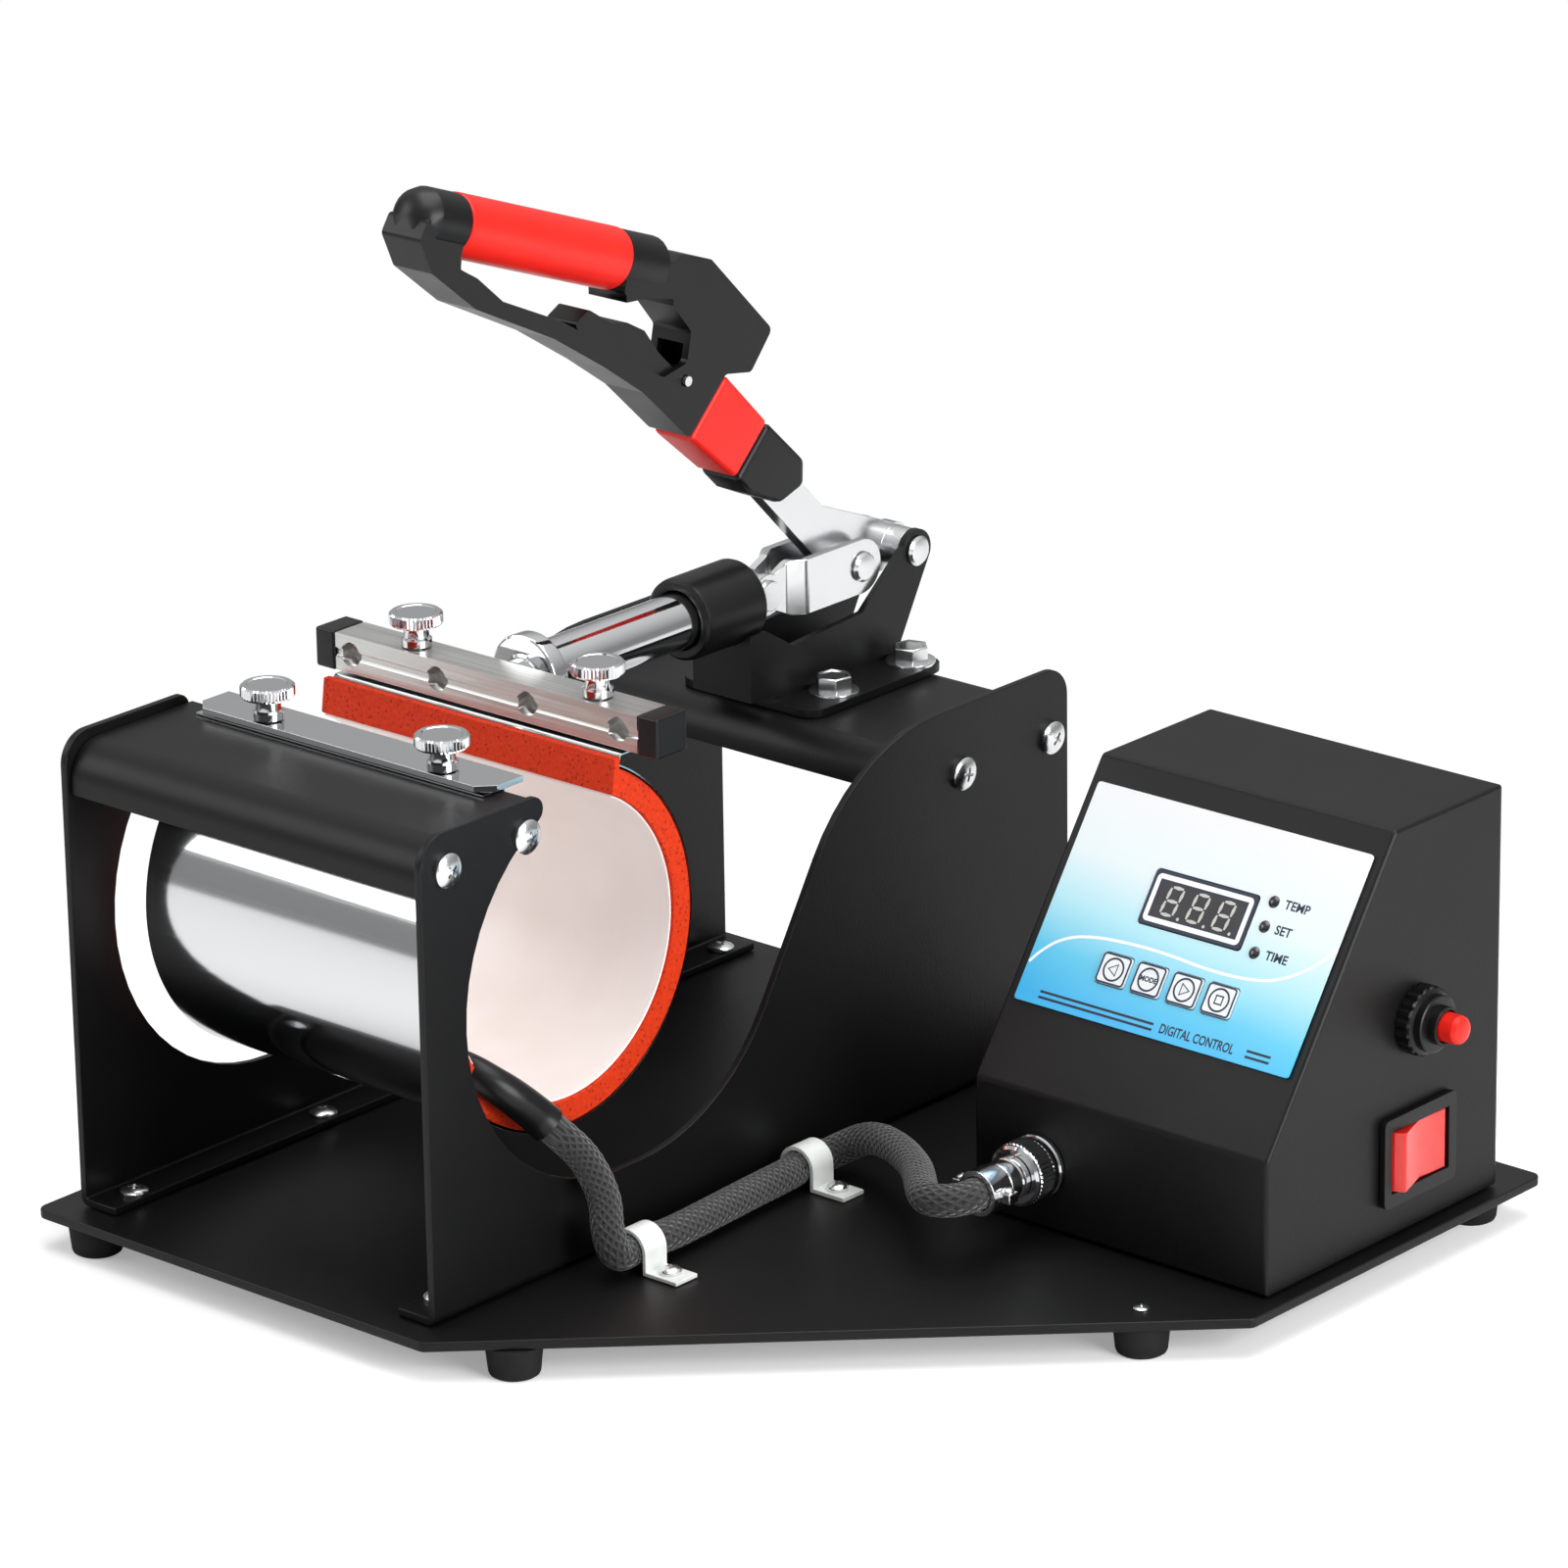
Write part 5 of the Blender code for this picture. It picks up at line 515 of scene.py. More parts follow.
# The drilled holes are deep and unlit, so their walls read as black
deep_shade, shader = new_material("shaded_drilled_hole", "040404", 0.9, Specular_IOR_Level=0.05)
textured(shader, 1.111, tones=("020202", "090909"))
AXIS_Z = 143.7
HOLES, HOLE_REACH, GROOVE_FLOOR = (17.1, 51.3, 86.4, 121.2), 3.9, 100.05
shape = carried_shape("rear_clamp_bar")
for face in shape.faces:
    middle = face.calc_center_median()
    for x in HOLES:
        eye = press(x, GROOVE_FLOOR, AXIS_Z)
        if math.hypot(middle.x - eye.x, middle.z - eye.z) < HOLE_REACH * MM and middle.y > eye.y:
            face.material_index = 1
show("clamp_bar", shape, [aluminium, deep_shade], "plunger", 30, ("rear_clamp_bar",))

# Moulded ABS: black with a soft uneven sheen. The mould's spark texture is drawn coarser, so that it shows
abs_black, shader = new_material("moulded_black_abs", "0A0A0B", 0.34, Specular_IOR_Level=0.34)
textured(shader, 0.7143, relief=(0.06, 0.2))
textured(shader, 16.67, gloss=(0.30, 0.42))
for side in ("left", "right"):
    carry_over("bar_cap_" + side, side + "_end_cap", abs_black)

# Thumb screws: turned and polished steel with a straight knurl round the head, a shouldered neck and a
# plain shank through the tab.
KNURLS, KNURL_DEPTH = 44, 0.955


# Presses in the rim's points at one step in every few, all round two of the axes
def knurl(shape, centre, axes, rim, steps, depth, pitch=2, groove=1):
    first, second = axes
    for point in shape.verts:
        offset = point.co - centre
        across = Vector((offset[first], offset[second]))
        step = round(math.atan2(across.y, across.x) / math.tau * steps)
        if across.length > rim * MM and step % pitch == groove:
            point.co[first] = centre[first] + across.x * depth
            point.co[second] = centre[second] + across.y * depth


for row, body, reach in (("front", "stand", 8.0), ("rear", "plunger", 13.2)):
    for side in ("left", "right"):
        node = "thumb_screw_%s_%s" % (row, side)
        low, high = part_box(node)
        seat = Vector(((low.x + high.x) / 2, (low.y + high.y) / 2, low.z + reach * MM))
        head = [(0, 10.15), (5.6, 10.15), (5.9, 10.35), (7.2, 10.35), (7.85, 9.8), (7.85, 7.2), (7.3, 6.6),
                (4.4, 6.6),
                (3.8, 6.2), (3.6, 4.6), (3.8, 2.9), (4.5, 2.3), (4.5, 0.3), (4.2, 0), (2.5, 0), (2.5, -reach),
                (0, -reach)]
        shape = turned(head, seat, steps=2 * KNURLS)
        knurl(shape, seat, (0, 1), 7.5, 2 * KNURLS, KNURL_DEPTH)
        show("%s_%s_thumb_screw" % (row, side), shape, stainless, "thumb_%s_%s" % (row, side),
             24, (node,))

# Plunger: a ground rod with a pressure disc at the bar and a flat tongue between the links. It slides in the
# guide sleeve, and its chrome is a clear mirror with a few oily smears.
chrome, shader = new_material("chromed_steel", "DADBDD", 0.08, 1.0)
textured(shader, 14.29, 4.0, gloss=(0.05, 0.15))
NOSE_Y = 112.3
rod = [(0, 87.8), (7.6, 87.8), (8.4, 87.0), (8.4, 10.4), (8.9, 10.0), (11.8, 9.9), (12.35, 9.6), (12.6, 9.0),
       (12.6, 5.0),
       (12.35, 4.4), (11.8, 4.1), (7.0, 4.1), (6.2, 3.7), (6.0, 3.2), (6.0, 0), (0, 0)]
show("plunger", turned(rod, press(MIDDLE_X, NOSE_Y, AXIS_Z), TO_Y, 96), chrome, "plunger",
     24, ("plunger_rod",))


# A flat plate from its outline in Y and Z
def slab(outline, low_x, high_x):
    shape = bmesh.new()
    face = shape.faces.new([shape.verts.new(press(low_x, y, z)) for y, z in outline])
    grown = bmesh.ops.extrude_face_region(shape, geom=[face])["geom"]
    bmesh.ops.translate(shape, vec=((high_x - low_x) * MM, 0, 0), verts=points_of(grown))
    bmesh.ops.recalc_face_normals(shape, faces=shape.faces)
    return shape


# The points of an arc, from one angle to another in degrees
def bow(centre, radius, start, end, steps=18):
    turns = [math.radians(start + (end - start) * step / steps) for step in range(steps + 1)]
    return [(centre[0] + radius * math.cos(turn), centre[1] + radius * math.sin(turn)) for turn in turns]


PUSH_Y, LINK_Y, PIVOT_Y = 216.1, 254.5, 276.5
tongue = slab([(199.5, 137.9), (199.5, 149.5)] + bow((PUSH_Y, AXIS_Z), 5.8, 90, -90), 67.4, 72.6)
ease_edges(tongue, 0.3)
show("plunger_tongue", tongue, plated, "plunger")

# Guide sleeve and clamp base: the sleeve is a thick black tube with rolled edges, and the base is folded
# plate with two cheeks that rise to the pivot's ears. Four hex flange bolts hold it to the rear bridge.
sleeve = [(8.7, 25.2), (9.0, 26.0), (9.6, 26.5), (11.2, 26.5), (12.1, 26.0), (12.5, 25.0), (12.5, 2.2),
          (12.2, 0.9),
          (11.3, 0.1), (10.2, 0), (9.2, 0.3), (8.7, 1.2)]
show("black_guide_sleeve", turned(sleeve, press(MIDDLE_X, 182.0, AXIS_Z), TO_Y, 80, True), abs_black, "stand",
     24, ("guide_sleeve",))
# The ears' front edges reach further forward than in the drawn base
EAR_FORWARD, EAR_UP, NEAR_NOTCH = 8.5, 2.0, 1.5
shape = carried_shape("clamp_base")
notch = press(0, 260.0, 128.5)
for point in shape.verts:
    if math.hypot(point.co.y - notch.y, point.co.z - notch.z) < NEAR_NOTCH * MM:
        point.co.y -= EAR_FORWARD * MM
        point.co.z += EAR_UP * MM
ease_edges(shape, 0.35)
show("folded_clamp_base", shape, powder, "stand", 30, ("clamp_base",))
HEX_REACH, HEX_RISE = 5.7 * MM, 4.2 * MM
washer = [(0, 1.2), (6.2, 1.2), (7.5, 0.9), (7.6, 0.6), (7.6, 0), (0, 0)]
for count, (x, y) in enumerate(((50.8, 229.0), (89.2, 229.0), (50.8, 264.0), (89.2, 264.0))):
    seat = press(x, y, 113.35)
    show("bolt_flange_%d" % (count + 1), turned(washer, seat, steps=56), plated, "stand", 24)
    shape = bmesh.new()
    bmesh.ops.create_cone(shape, cap_ends=True, segments=6, radius1=HEX_REACH, radius2=HEX_REACH,
                          depth=HEX_RISE)
    turn = Matrix.Rotation(0.35 + count * 0.5, 3, "Z")
    bmesh.ops.rotate(shape, cent=(0, 0, 0), matrix=turn, verts=shape.verts)
    top = [face for face in shape.faces if face.normal.z > 0.9]
    bmesh.ops.inset_region(shape, faces=top, thickness=0.7 * MM, depth=0)
    inner = [face for face in shape.faces if face.normal.z > 0.9 and len(face.verts) == 6]
    bmesh.ops.translate(shape, vec=(0, 0, 0.35 * MM), verts=list({v for face in inner for v in face.verts}))
    bmesh.ops.inset_region(shape, faces=inner, thickness=1.0 * MM, depth=0)
    core = [face for face in shape.faces if face.normal.z > 0.99 and len(face.verts) == 6]
    bmesh.ops.translate(shape, vec=(0, 0, -0.5 * MM), verts=list({v for face in core for v in face.verts}))
    ease_edges(shape, 0.25, 50)
    bmesh.ops.translate(shape, vec=seat + Vector((0, 0, 3.1 * MM)), verts=shape.verts)
    show("bolt_head_%d" % (count + 1), shape, plated, "stand", 30)

# Links and pins: stamped, joggled and plated plates with riveted pins whose heads are peened to a dome. The
# links hang on the lever by the link pin, and the pivot pin holds the lever in the base's ears.
for side in ("left", "right"):
    carry_over("link_" + side, side + "_link", plated, 0.3)


def pin(half_grip, radius, head_radius, head):
    side = [(radius, half_grip), (head_radius, half_grip), (head_radius, half_grip + head * 0.35),
            (head_radius * 0.82, half_grip + head * 0.8), (head_radius * 0.45, half_grip + head),
            (0, half_grip + head)]
    return [(r, h) for r, h in side[::-1]] + [(r, -h) for r, h in side]


for name, half_grip, y, body, node in (("pivot_rivet", 11.7, PIVOT_Y, "stand", "pivot_pin"),
                                       ("link_rivet", 9.2, LINK_Y, "lever", "link_pin")):
    rivet = turned(pin(half_grip, 3.0, 4.6, 1.6), press(MIDDLE_X, y, AXIS_Z), TO_X, 48)
    show(name, rivet, plated, body, 30, (node,))

# Lever: the flat plated crank and stem, its black ferrule, the red collar and the D-shaped handle with its
# red grip sleeve and the squeeze latch in the lower limb.
carry_over("lever_bar", "lever_stem", plated, 0.35)
GRIP_TILT = 20.5
CORE_REACH, CORE_CUT = 11.3, 0.17
NOSE_START, NOSE_CUT = 100, 0.3
grip_rear = press(MIDDLE_X, LINK_Y - 79.98, AXIS_Z + 108.63)
grip_way = Vector((0, -math.cos(math.radians(GRIP_TILT)), math.sin(math.radians(GRIP_TILT))))


# The handle's mouldings are slimmer than the stock they are drawn in
def slimmed(node, name, material, share, smooth=32):
    shape = carried_shape(node)
    for point in shape.verts:
        point.co.x = grip_rear.x + (point.co.x - grip_rear.x) * share
        offset = point.co - grip_rear
        offset.x = 0
        along = offset.dot(grip_way)
        across = offset - grip_way * along
        if node == "handle_frame" and -4 * MM < along and across.length < CORE_REACH * MM:
            point.co -= across * CORE_CUT
            if along > NOSE_START * MM:
                point.co -= grip_way * (along - NOSE_START * MM) * NOSE_CUT
    return show(name, shape, material, "lever", smooth, (node,))


slimmed("handle_ferrule", "stem_ferrule", abs_black, 0.80)
# Moulded polypropylene: a strong warm red, slightly cloudy where the plastic flowed
red_pp, shader = new_material("moulded_red_polypropylene", "E0201A", 0.34, Specular_IOR_Level=0.3)
textured(shader, 20.83, 3.0, tones=("DA1A14", "F02A20"))
textured(shader, 0.8333, relief=(0.07, 0.2))
slimmed("handle_collar", "red_collar", red_pp, 0.76)
slimmed("handle_frame", "d_handle", abs_black, 0.82)
carry_over("latch_trigger", "squeeze_latch", abs_black, 0.5, 32)
along_grip = Matrix.Rotation(math.radians(90 - GRIP_TILT), 4, "X")
sleeve = [(8.1, 88.5), (8.8, 88.5), (9.15, 88.1), (9.2, 87.6), (9.2, 19.9), (9.15, 19.4), (8.8, 19.0),
          (8.1, 19.0)]
show("red_grip", turned(sleeve, grip_rear, along_grip, 80, True), red_pp, "lever", 24,
     ("grip_sleeve",))
carry_over("latch_pin", "latch_rivet", plated)

# Heater lead: heat-proof wires in a black braided sleeve, from the band's moulded outlet through two nylon
# clips to the plug. The braid is a dark satin with crossing strands, drawn coarser than the real ones so
# that they show.
STRAND, STRANDS_ROUND = 1.4, 12
braid, shader = new_material("braided_glass_sleeving", "161617", 0.62, Specular_IOR_Level=0.4,
                             Sheen_Weight=0.3)
tree = shader.id_data
lanes = add(tree, "ShaderNodeUVMap", {"uv_map": "braid"})
flat = add(tree, "ShaderNodeSeparateXYZ", Vector=lanes.outputs[0])
turns = add(tree, "ShaderNodeMath", {"operation": "MULTIPLY"}, i0=flat.outputs["X"],
            i1=math.tau * STRANDS_ROUND)
pitch = add(tree, "ShaderNodeMath", {"operation": "MULTIPLY"}, i0=flat.outputs["Y"],
            i1=math.tau / (STRAND * MM) / 2)
right_lay = add(tree, "ShaderNodeMath", {"operation": "ADD"}, i0=turns.outputs[0], i1=pitch.outputs[0])
left_lay = add(tree, "ShaderNodeMath", {"operation": "SUBTRACT"}, i0=turns.outputs[0], i1=pitch.outputs[0])
right_wave = add(tree, "ShaderNodeMath", {"operation": "SINE"}, i0=right_lay.outputs[0])
left_wave = add(tree, "ShaderNodeMath", {"operation": "SINE"}, i0=left_lay.outputs[0])
strands = add(tree, "ShaderNodeMath", {"operation": "MAXIMUM"}, i0=right_wave.outputs[0],
              i1=left_wave.outputs[0])
tone = add(tree, "ShaderNodeMapRange", Value=strands.outputs[0], From_Min=-0.6, From_Max=1.0)
work_in(shader, tone.outputs[0], tones=("070707", "2B2B2D"))
work_in(shader, strands.outputs[0], relief=(0.7, 0.6))


# A smooth curve through all its points
def smooth_route(points, per_span):
    route = []
    for place in range(len(points) - 1):
        near = [max(0, min(len(points) - 1, place + step)) for step in (-1, 0, 1, 2)]
        before, start, end, after = [Vector(points[each]) for each in near]
        for step in range(per_span):
            share = step / per_span
            square, cube = share ** 2, share ** 3
            rise, fall = (end - before) / 2, (after - start) / 2
            route.append(start * (2 * cube - 3 * square + 1) + rise * (cube - 2 * square + share)
                         + end * (3 * square - 2 * cube) + fall * (cube - square))
    return route + [Vector(points[-1])]


# A swept tube in millimetres, with a map of turns round it and metres along it
def tube(name, points, radius, material, body, taper=1.0, sides=8, per_span=6, replaced=()):
    route = smooth_route(points, per_span)
    curve = bpy.data.curves.new(name, "CURVE")
    curve.dimensions = "3D"
    curve.bevel_depth = radius * MM
    curve.bevel_resolution = sides
    curve.use_fill_caps = True
    spline = curve.splines.new("POLY")
    spline.points.add(len(route) - 1)
    for place, (point, where) in enumerate(zip(spline.points, route)):
        point.co = (*press(*where), 1)
        point.radius = 1 + (taper - 1) * place / (len(route) - 1)
    holder = bpy.data.objects.new(name, curve)
    studio.collection.objects.link(holder)
    shape = finished(holder)
    for layer in list(shape.loops.layers.uv.values()):
        shape.loops.layers.uv.remove(layer)
    lane = shape.loops.layers.uv.new("braid")
    around = 4 + 2 * sides
    lengths = [0.0]
    for here, there in zip(route, route[1:]):
        lengths.append(lengths[-1] + (there - here).length * MM)
    shape.verts.ensure_lookup_table()
    for face in shape.faces:
        rings = [min(loop.vert.index // around, len(route) - 1) for loop in face.loops]
        shares = [loop.vert.index % around / around for loop in face.loops]
        for loop, ring, share in zip(face.loops, rings, shares):
            if max(shares) - min(shares) > 0.5 and share < 0.5 and len(face.verts) == 4:
                share += 1
            loop[lane].uv = (share, lengths[ring])
    bmesh.ops.remove_doubles(shape, verts=shape.verts, dist=0.001 * MM)
    bmesh.ops.recalc_face_normals(shape, faces=shape.faces)
    return show(name, shape, material, body, 40, replaced)


LEAD_ROUTE = [
    (224.0, 141.2, 19.4), (224.0, 133.2, 19.4), (223.1, 127.5, 19.3), (219.8, 123.8, 19.0),
    (214.8, 123.1, 18.6),
    (209.8, 126.2, 18.1), (204.0, 132.0, 17.5), (196.5, 139.5, 16.8), (188.0, 146.0, 16.2),
    (178.5, 151.3, 15.6),
    (169.0, 155.5, 14.3), (161.0, 157.5, 11.8), (155.0, 156.2, 8.5), (151.9, 152.5, 6.5), (151.0, 149.2, 6.3),
    (151.0, 148.2, 6.3), (151.0, 139.2, 6.3), (151.0, 138.2, 6.3), (151.2, 137.0, 5.7), (152.2, 120.0, 5.7),
    (153.6, 100.0, 5.7), (154.6, 83.0, 5.7), (154.8, 73.5, 6.3), (154.8, 72.5, 6.3), (154.8, 63.5, 6.3),
    (154.8, 62.5, 6.3), (154.8, 59.3, 6.6), (154.3, 57.2, 9.6), (152.6, 57.3, 14.7), (149.7, 59.5, 21.2),
    (145.8, 59.8, 28.0), (141.4, 58.2, 34.5), (135.2, 54.0, 41.5),
]
OUTLET_ROUTE = [
    (134.5, 53.3, 42.3), (132.9, 51.0, 45.3), (131.6, 47.0, 49.5), (130.0, 43.0, 53.5), (127.0, 39.5, 57.0),
    (122.0, 37.0, 60.0), (116.0, 35.8, 61.5),
]
tube("braided_lead", LEAD_ROUTE, 4.8, braid, "stand", replaced=("heater_lead",))
tube("lead_outlet", OUTLET_ROUTE, 5.6, abs_black, "stand", 0.85,
     replaced=("heater_conduit",))

# Cable clips: loops screwed to the base through a flat pad, moulded in nylon, which is milky white with
# faint flow marks.
nylon, shader = new_material("moulded_nylon", "ECECE8", 0.42, Specular_IOR_Level=0.5, Subsurface_Weight=0.08)
textured(shader, 5.556, 3.0, tones=("DCDCD6", "F6F6F3"))
for end in ("front", "rear"):
    carry_over("cable_clip_" + end, end + "_clip", nylon, 0.2)
screws("clip_screw", [press(166.5, 68.0, 1.2), press(162.7, 143.7, 1.2)], UP, 3.2, 2.2)

# Lead connector: a chassis socket, a knurled coupling ring, the plug and its two-screw cord grip, all
# turned and chromed.
SOCKET_X, BOX_FRONT, SOCKET_Z = 224.0, 160.5, 19.4
socket_place = press(SOCKET_X, BOX_FRONT, SOCKET_Z)
socket = [(0, 6.4), (4.9, 6.4), (5.6, 5.8), (5.6, 1.9), (8.9, 1.9), (9.3, 1.5), (9.3, 0.3), (5.6, 0.3),
          (5.6, -8), (0, -8)]
show("chassis_socket", turned(socket, socket_place, TO_FRONT), chrome, "stand", 24,
     ("lead_socket",))
ring = [(6.2, 11.4), (8.0, 11.4), (8.9, 10.9), (9.0, 10.2), (9.4, 9.9), (9.4, 4.4), (9.0, 4.1), (8.9, 3.0),
        (8.2, 2.4), (6.2, 2.3)]
shape = turned(ring, socket_place, TO_FRONT, 2 * KNURLS, True)
knurl(shape, socket_place, (0, 2), 9.2, 2 * KNURLS, KNURL_DEPTH)
show("knurled_ring", shape, chrome, "coupling_ring", 20, ("coupling_ring",))
plug = [(0, 19.7), (5.4, 19.7), (6.1, 19.3), (6.3, 18.8), (6.3, 15.6), (5.9, 15.2), (5.9, 14.6), (6.3, 14.2),
        (6.3, 11.7),
        (5.7, 11.7), (5.7, 6.7), (0, 6.7)]
show("connector_plug", turned(plug, socket_place, TO_FRONT), chrome, "stand", 24,
     ("lead_plug",))
carry_over("cord_grip", "plug_cord_grip", chrome, 0.3)
screws("grip_screw", [press(SOCKET_X - 8.3, 136.6, 20.9), press(SOCKET_X + 8.3, 136.6, 20.9)], UP, 1.7, 1.3)

# Control box: a folded and welded sheet cover with a sloping face, closed below by its floor plate. The
# board hangs behind the slope, green solder mask over a mesh of traces.
carry_over("control_box_cover", "box_cover", powder)
carry_over("control_box_floor", "box_floor", powder, 0.3)
TRACE = 3.846
fibreglass, shader = new_material("green_circuit_board", "1F5A34", 0.45)
tree = shader.id_data
coords = add(tree, "ShaderNodeTexCoord")
traces = add(tree, "ShaderNodeTexVoronoi", Vector=coords.outputs["Object"], Scale=1 / (TRACE * MM))
work_in(shader, traces.outputs["Distance"], tones=("17492A", "2B7344"))
carry_over("control_board", "circuit_board", fibreglass)

# Panel: a polyester film printed from behind, grey-white at the top and clear blue at the foot, with a
# white wave across it.
SLOPE = math.atan2(81.4, 57.4)
DOWN = Vector((0, -math.cos(SLOPE), -math.sin(SLOPE)))
OUT = Vector((0, -math.sin(SLOPE), math.cos(SLOPE)))
ON_SLOPE = Matrix.Rotation(SLOPE, 4, "X")
crest = press(200.0, 217.9, 122.0)


# Millimetres to the right, down the face and out from it
def on_slope(right, down, out):
    return crest + (Vector((right, 0, 0)) + DOWN * down + OUT * out) * MM


film, shader = new_material("printed_polyester_film", "8CCBEA", 0.30, Specular_IOR_Level=0.5)
tree = shader.id_data
coords = add(tree, "ShaderNodeTexCoord")
from_crest = add(tree, "ShaderNodeVectorMath", {"operation": "SUBTRACT"}, i0=coords.outputs["Object"],
                 i1=on_slope(0, 8.4, 0))
fall = add(tree, "ShaderNodeVectorMath", {"operation": "DOT_PRODUCT"}, i0=from_crest.outputs[0], i1=DOWN)
side = add(tree, "ShaderNodeSeparateXYZ", Vector=from_crest.outputs[0])
lean = add(tree, "ShaderNodeMath", {"operation": "MULTIPLY_ADD"}, i0=side.outputs["X"], i1=-0.10,
           i2=fall.outputs["Value"])
share = add(tree, "ShaderNodeMapRange", Value=lean.outputs[0], From_Min=-0.005, From_Max=0.0625)
ramp = add(tree, "ShaderNodeValToRGB", Fac=share.outputs[0])
stops = ((0.0, "E6E6E8"), (0.36, "DCE9EC"), (0.58, "ACE0EC"), (0.80, "56C4E8"), (1.0, "2BB0EA"))
ramp.color_ramp.elements[0].position = stops[0][0]
ramp.color_ramp.elements[0].color = linear(stops[0][1])
ramp.color_ramp.elements[1].position = stops[-1][0]
ramp.color_ramp.elements[1].color = linear(stops[-1][1])
for place, code in stops[1:-1]:
    ramp.color_ramp.elements.new(place).color = linear(code)
tree.links.new(ramp.outputs["Color"], shader.inputs["Base Color"])
carry_over("control_panel", "printed_panel", film, 0.12)

# Screen inks: flat and even, a little duller than the film they are printed on
white_ink, shader = new_material("white_screen_ink", "F4F8FA", 0.4)
textured(shader, 0.5, gloss=(0.35, 0.5))
navy_ink, shader = new_material("navy_screen_ink", "14263F", 0.45)
textured(shader, 0.5, gloss=(0.38, 0.55))
FACE = 1.12
STROKE_STEPS = 10


# A printed stroke: a flat ribbon along a line on the sloping face
def stroke(name, points, width, ink, out=FACE, closed=False):
    route = points
    if not closed:
        curved = smooth_route([(u, v, 0) for u, v in points], STROKE_STEPS if len(points) > 2 else 1)
        route = [tuple(point)[:2] for point in curved]
    shape = bmesh.new()
    rails = []
    for place, (u, v) in enumerate(route):
        back = route[place - 1] if closed or place else route[place]
        ahead = route[(place + 1) % len(route)] if closed or place < len(route) - 1 else route[place]
        way = Vector((ahead[0] - back[0], ahead[1] - back[1])).normalized() * width / 2
        sides = ((u - way.y, v + way.x), (u + way.y, v - way.x))
        rails.append([shape.verts.new(on_slope(across, down, out)) for across, down in sides])
    pairs = list(zip(rails, rails[1:] + ([rails[0]] if closed else [])))
    for (a, b), (c, d) in pairs:
        shape.faces.new((a, b, d, c))
    bmesh.ops.recalc_face_normals(shape, faces=shape.faces)
    for face in shape.faces:
        if face.normal.dot(OUT) < 0:
            face.normal_flip()
    return show(name, shape, ink, "stand", 60)


stroke("panel_wave", [(4.2, 64.0), (6.6, 60.5), (10.9, 56.4), (16.6, 53.6), (24.4, 52.0), (33.3, 51.3),
                      (42.5, 51.1),
                      (51.8, 51.4), (61.2, 52.0), (70.3, 52.1), (77.6, 51.6), (84.5, 50.3), (90.7, 47.5),
                      (96.3, 43.4),
                      (100.3, 39.0), (101.5, 36.5)], 0.9, white_ink)
RULES = ((11.8, 52.8, 71.3), (11.8, 52.8, 73.0), (85.8, 94.2, 71.1), (85.8, 94.2, 72.8))
for count, (left, right, down) in enumerate(RULES):
    stroke("panel_rule_%d" % (count + 1), [(left, down), (right, down)], 0.75, navy_ink)


# Words are drawn with the plain built-in letters, cut flat and laid on the face
def word(name, text, right, down, size, ink, out=FACE, stretch=1.0, align="LEFT"):
    curve = bpy.data.curves.new(name, "FONT")
    curve.body = text
    curve.size = size * MM
    curve.align_x = align
    curve.align_y = "CENTER"
    curve.offset = 0.09 * MM
    curve.resolution_u = 3
    holder = bpy.data.objects.new(name, curve)
    studio.collection.objects.link(holder)
    shape = finished(holder)
    bmesh.ops.scale(shape, vec=(stretch, 1, 1), verts=shape.verts)
    place = Matrix.Translation(on_slope(right, down, out)) @ ON_SLOPE
    bmesh.ops.transform(shape, matrix=place, verts=shape.verts)
    return show(name, shape, ink, "stand", 60)


word("word_control", "DIGITAL CONTROL", 55.2, 72.0, 3.9, navy_ink, stretch=0.76)
for text, down in (("TEMP", 28.6), ("SET", 36.2), ("TIME", 43.9)):
    word("word_" + text.lower(), text, 79.9, down, 3.7, navy_ink, stretch=0.98)

# Indicator lamps: 3 mm lenses of smoked epoxy beside the words, pushed through the film. Unlit, they are
# nearly black and glassy, with a pinpoint of light on each.
lamp_lens, shader = new_material("smoked_lamp_lens", "15161A", 0.12, Coat_Weight=0.6)
textured(shader, 1.111, gloss=(0.08, 0.2))
LENS = [(0, 0.75), (0.8, 0.68), (1.4, 0.45), (1.75, 0.15), (1.8, 0), (0, 0)]
for count, down in enumerate((28.6, 36.1, 44.0)):
    place = on_slope(76.1, down, 1.1)
    show("lamp_%d" % (count + 1), turned(LENS, place, ON_SLOPE, 32), lamp_lens, "stand", 30)

# Display: three unlit digits of pale cast resin behind a smoked acrylic window, which is a dark grey. A
# pale rim and two dark lines are printed round it.
window_film, shader = new_material("smoked_acrylic_window", "333337", 0.35, Specular_IOR_Level=0.25)
textured(shader, 8.333, tones=("2C2C30", "3E3E42"))
carry_over("display_window", "display_face", window_film, 0.1)
segment_grey, shader = new_material("unlit_segment_resin", "A9A9A6", 0.5)
textured(shader, 0.6667, tones=("B4B4B0", "CFCFCB"))


def frame_line(name, left, top, right, bottom, radius, width, ink, out=FACE):
    route = []
    for cu, cv, start in ((right - radius, top + radius, -90), (right - radius, bottom - radius, 0),
                          (left + radius, bottom - radius, 90), (left + radius, top + radius, 180)):
        route += bow((cu, cv), radius, start, start + 90, 6)
    return stroke(name, route, width, ink, out, True)


frame_line("window_outline", 35.1, 28.6, 70.7, 44.2, 1.4, 0.7, navy_ink, 1.42)
frame_line("window_rim", 36.5, 30.0, 69.3, 42.8, 0.8, 1.5, white_ink, 1.43)
frame_line("window_seal", 37.5, 31.0, 68.3, 41.8, 0.5, 0.5, navy_ink, 1.44)
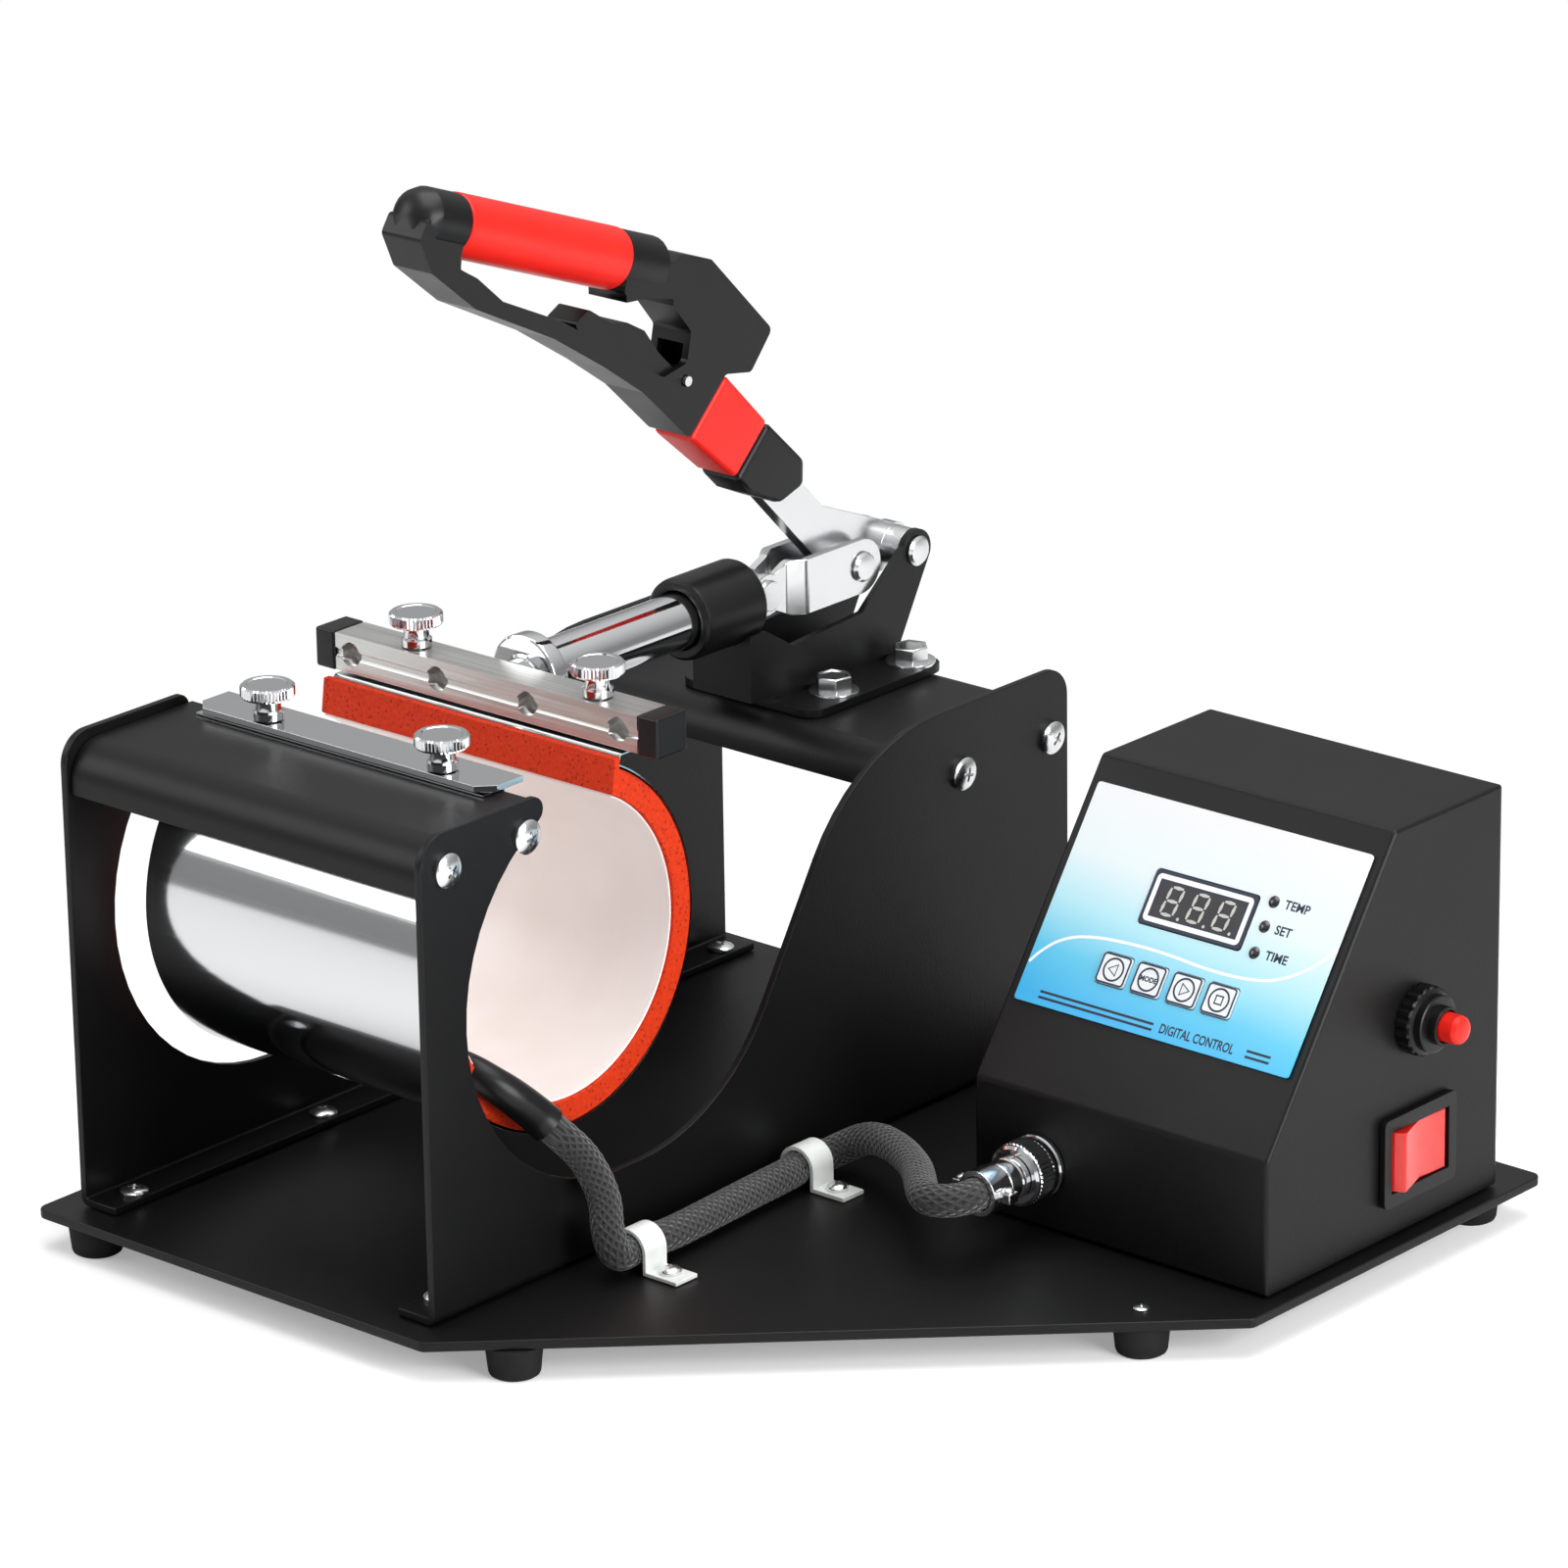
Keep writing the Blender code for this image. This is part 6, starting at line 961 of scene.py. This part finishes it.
# Each bar of a digit: its place across and down, and whether it stands upright
BARS = ((0, -1, False), (0, 0, False), (0, 1, False), (-1, -0.5, True), (1, -0.5, True), (-1, 0.5, True),
        (1, 0.5, True))
BAR_REACH, BAR_DROP, BAR_SLANT, BAR_SIZE = 2.2, 4.1, 0.5, (2.05, 0.55, 1)
UPRIGHT = Matrix.Rotation(math.radians(83), 3, "Z")
for digit, centre in enumerate((43.6, 52.8, 62.0)):
    shape = bmesh.new()
    for across, drop, upright in BARS:
        circle = bmesh.ops.create_circle(shape, cap_ends=True, segments=6, radius=1.0)["verts"]
        bmesh.ops.scale(shape, vec=BAR_SIZE, verts=circle)
        if upright:
            bmesh.ops.rotate(shape, cent=(0, 0, 0), matrix=UPRIGHT, verts=circle)
        middle = (across * BAR_REACH - drop * BAR_SLANT, -drop * BAR_DROP, 0)
        bmesh.ops.translate(shape, vec=middle, verts=circle)
    dot = bmesh.ops.create_circle(shape, cap_ends=True, segments=14, radius=0.5)["verts"]
    bmesh.ops.translate(shape, vec=(3.9, -4.5, 0), verts=dot)
    bmesh.ops.scale(shape, vec=(MM, MM, MM), verts=shape.verts)
    place = Matrix.Translation(on_slope(centre, 36.4, 1.43)) @ ON_SLOPE
    bmesh.ops.transform(shape, matrix=place, verts=shape.verts)
    show("digit_%d" % (digit + 1), shape, segment_grey, "stand", 60)

# Keys: four raised domes of printed film, white and slightly uneven, each with a round sign in a dark
# outline. They press on the board behind the slope.
key_film, shader = new_material("domed_key_film", "E4E8EA", 0.3)
textured(shader, 7.143, tones=("DADFE2", "F0F3F4"))
KEY_CENTRES = (33.4, 45.9, 58.7, 71.1)
KEY_DOWN, KEY_FACE, KEY_LINE = 59.7, 1.74, 0.6
KEY_SIGNS = (((-1.8, 0), (1.1, -1.7), (1.1, 1.7)), "MODE", ((1.8, 0), (-1.1, 1.7), (-1.1, -1.7)),
             ((-1.2, -1.2), (1.2, -1.2), (1.2, 1.2), (-1.2, 1.2)))
for number, (centre, sign) in enumerate(zip(KEY_CENTRES, KEY_SIGNS), 1):
    carry_over("panel_key_%d" % number, "key_cap_%d" % number, key_film, 0.25)
    name = "key_sign_%d" % number
    signs = [frame_line("key_outline_%d" % number, centre - 4.75, KEY_DOWN - 4.25, centre + 4.75,
                        KEY_DOWN + 4.25, 1.0,
                        KEY_LINE, navy_ink, KEY_FACE),
             stroke("key_ring_%d" % number, bow((centre, KEY_DOWN), 3.3, 0, 348, 30), KEY_LINE, navy_ink,
                    KEY_FACE, True)]
    if isinstance(sign, str):
        signs.append(word(name, sign, centre, KEY_DOWN, 2.1, navy_ink, KEY_FACE, align="CENTER"))
    else:
        outline = [(centre + across, KEY_DOWN + down) for across, down in sign]
        signs.append(stroke(name, outline, KEY_LINE, navy_ink, KEY_FACE, True))
    for each in signs:
        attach(each, "key_%d" % number)

# Reset switch: a moulded black barrel through the box's side, held by a knurled nut, with a round red
# button that springs back.
RESET = press(305.2, 228.2, 63.3)
barrel = [(0, -9.0), (4.6, -9.0), (4.6, 10.6), (5.0, 11.0), (5.4, 11.0), (5.7, 10.6), (5.7, 8.0), (7.9, 7.8),
          (8.4, 7.5),
          (8.4, 5.2), (9.6, 4.8), (10.2, 4.2), (10.2, 0.3), (5.7, 0.3), (5.7, -1.8), (9.0, -1.8),
          (9.0, -11.0), (0, -11.0)]
NUT_STEPS, NUT_GROOVE = 60, 0.93
shape = turned(barrel, RESET, TO_X, NUT_STEPS)
knurl(shape, RESET, (1, 2), 9.9, NUT_STEPS, NUT_GROOVE, 3, 0)
show("reset_barrel", shape, abs_black, "stand", 24, ("reset_switch",))
button = [(0, 16.8), (2.4, 16.75), (3.5, 16.3), (4.1, 15.5), (4.3, 14.6), (4.3, -5.6), (0, -5.6)]
show("red_reset_button", turned(button, RESET, TO_X, 48), red_pp, "reset_button", 30,
     ("reset_button",))

# Power switch: a black rimmed housing snapped into the side. Its rocker tips about an upright axis and is
# polycarbonate, a glossy clear red that glows a little in depth.
carry_over("switch_housing", "switch_bezel", abs_black, 0.35)
rocker_red, shader = new_material("translucent_red_polycarbonate", "D81C16", 0.18, Coat_Weight=0.4,
                                  Subsurface_Weight=0.15)
textured(shader, 11.11, tones=("C31510", "E8281F"))
carry_over("switch_rocker", "red_rocker", rocker_red, 0.35)

# Mains inlet at the back: a three-blade appliance inlet in its rimmed housing, of the same moulded black
# plastic as the switch.
carry_over("mains_inlet", "appliance_inlet", abs_black, 0.2)
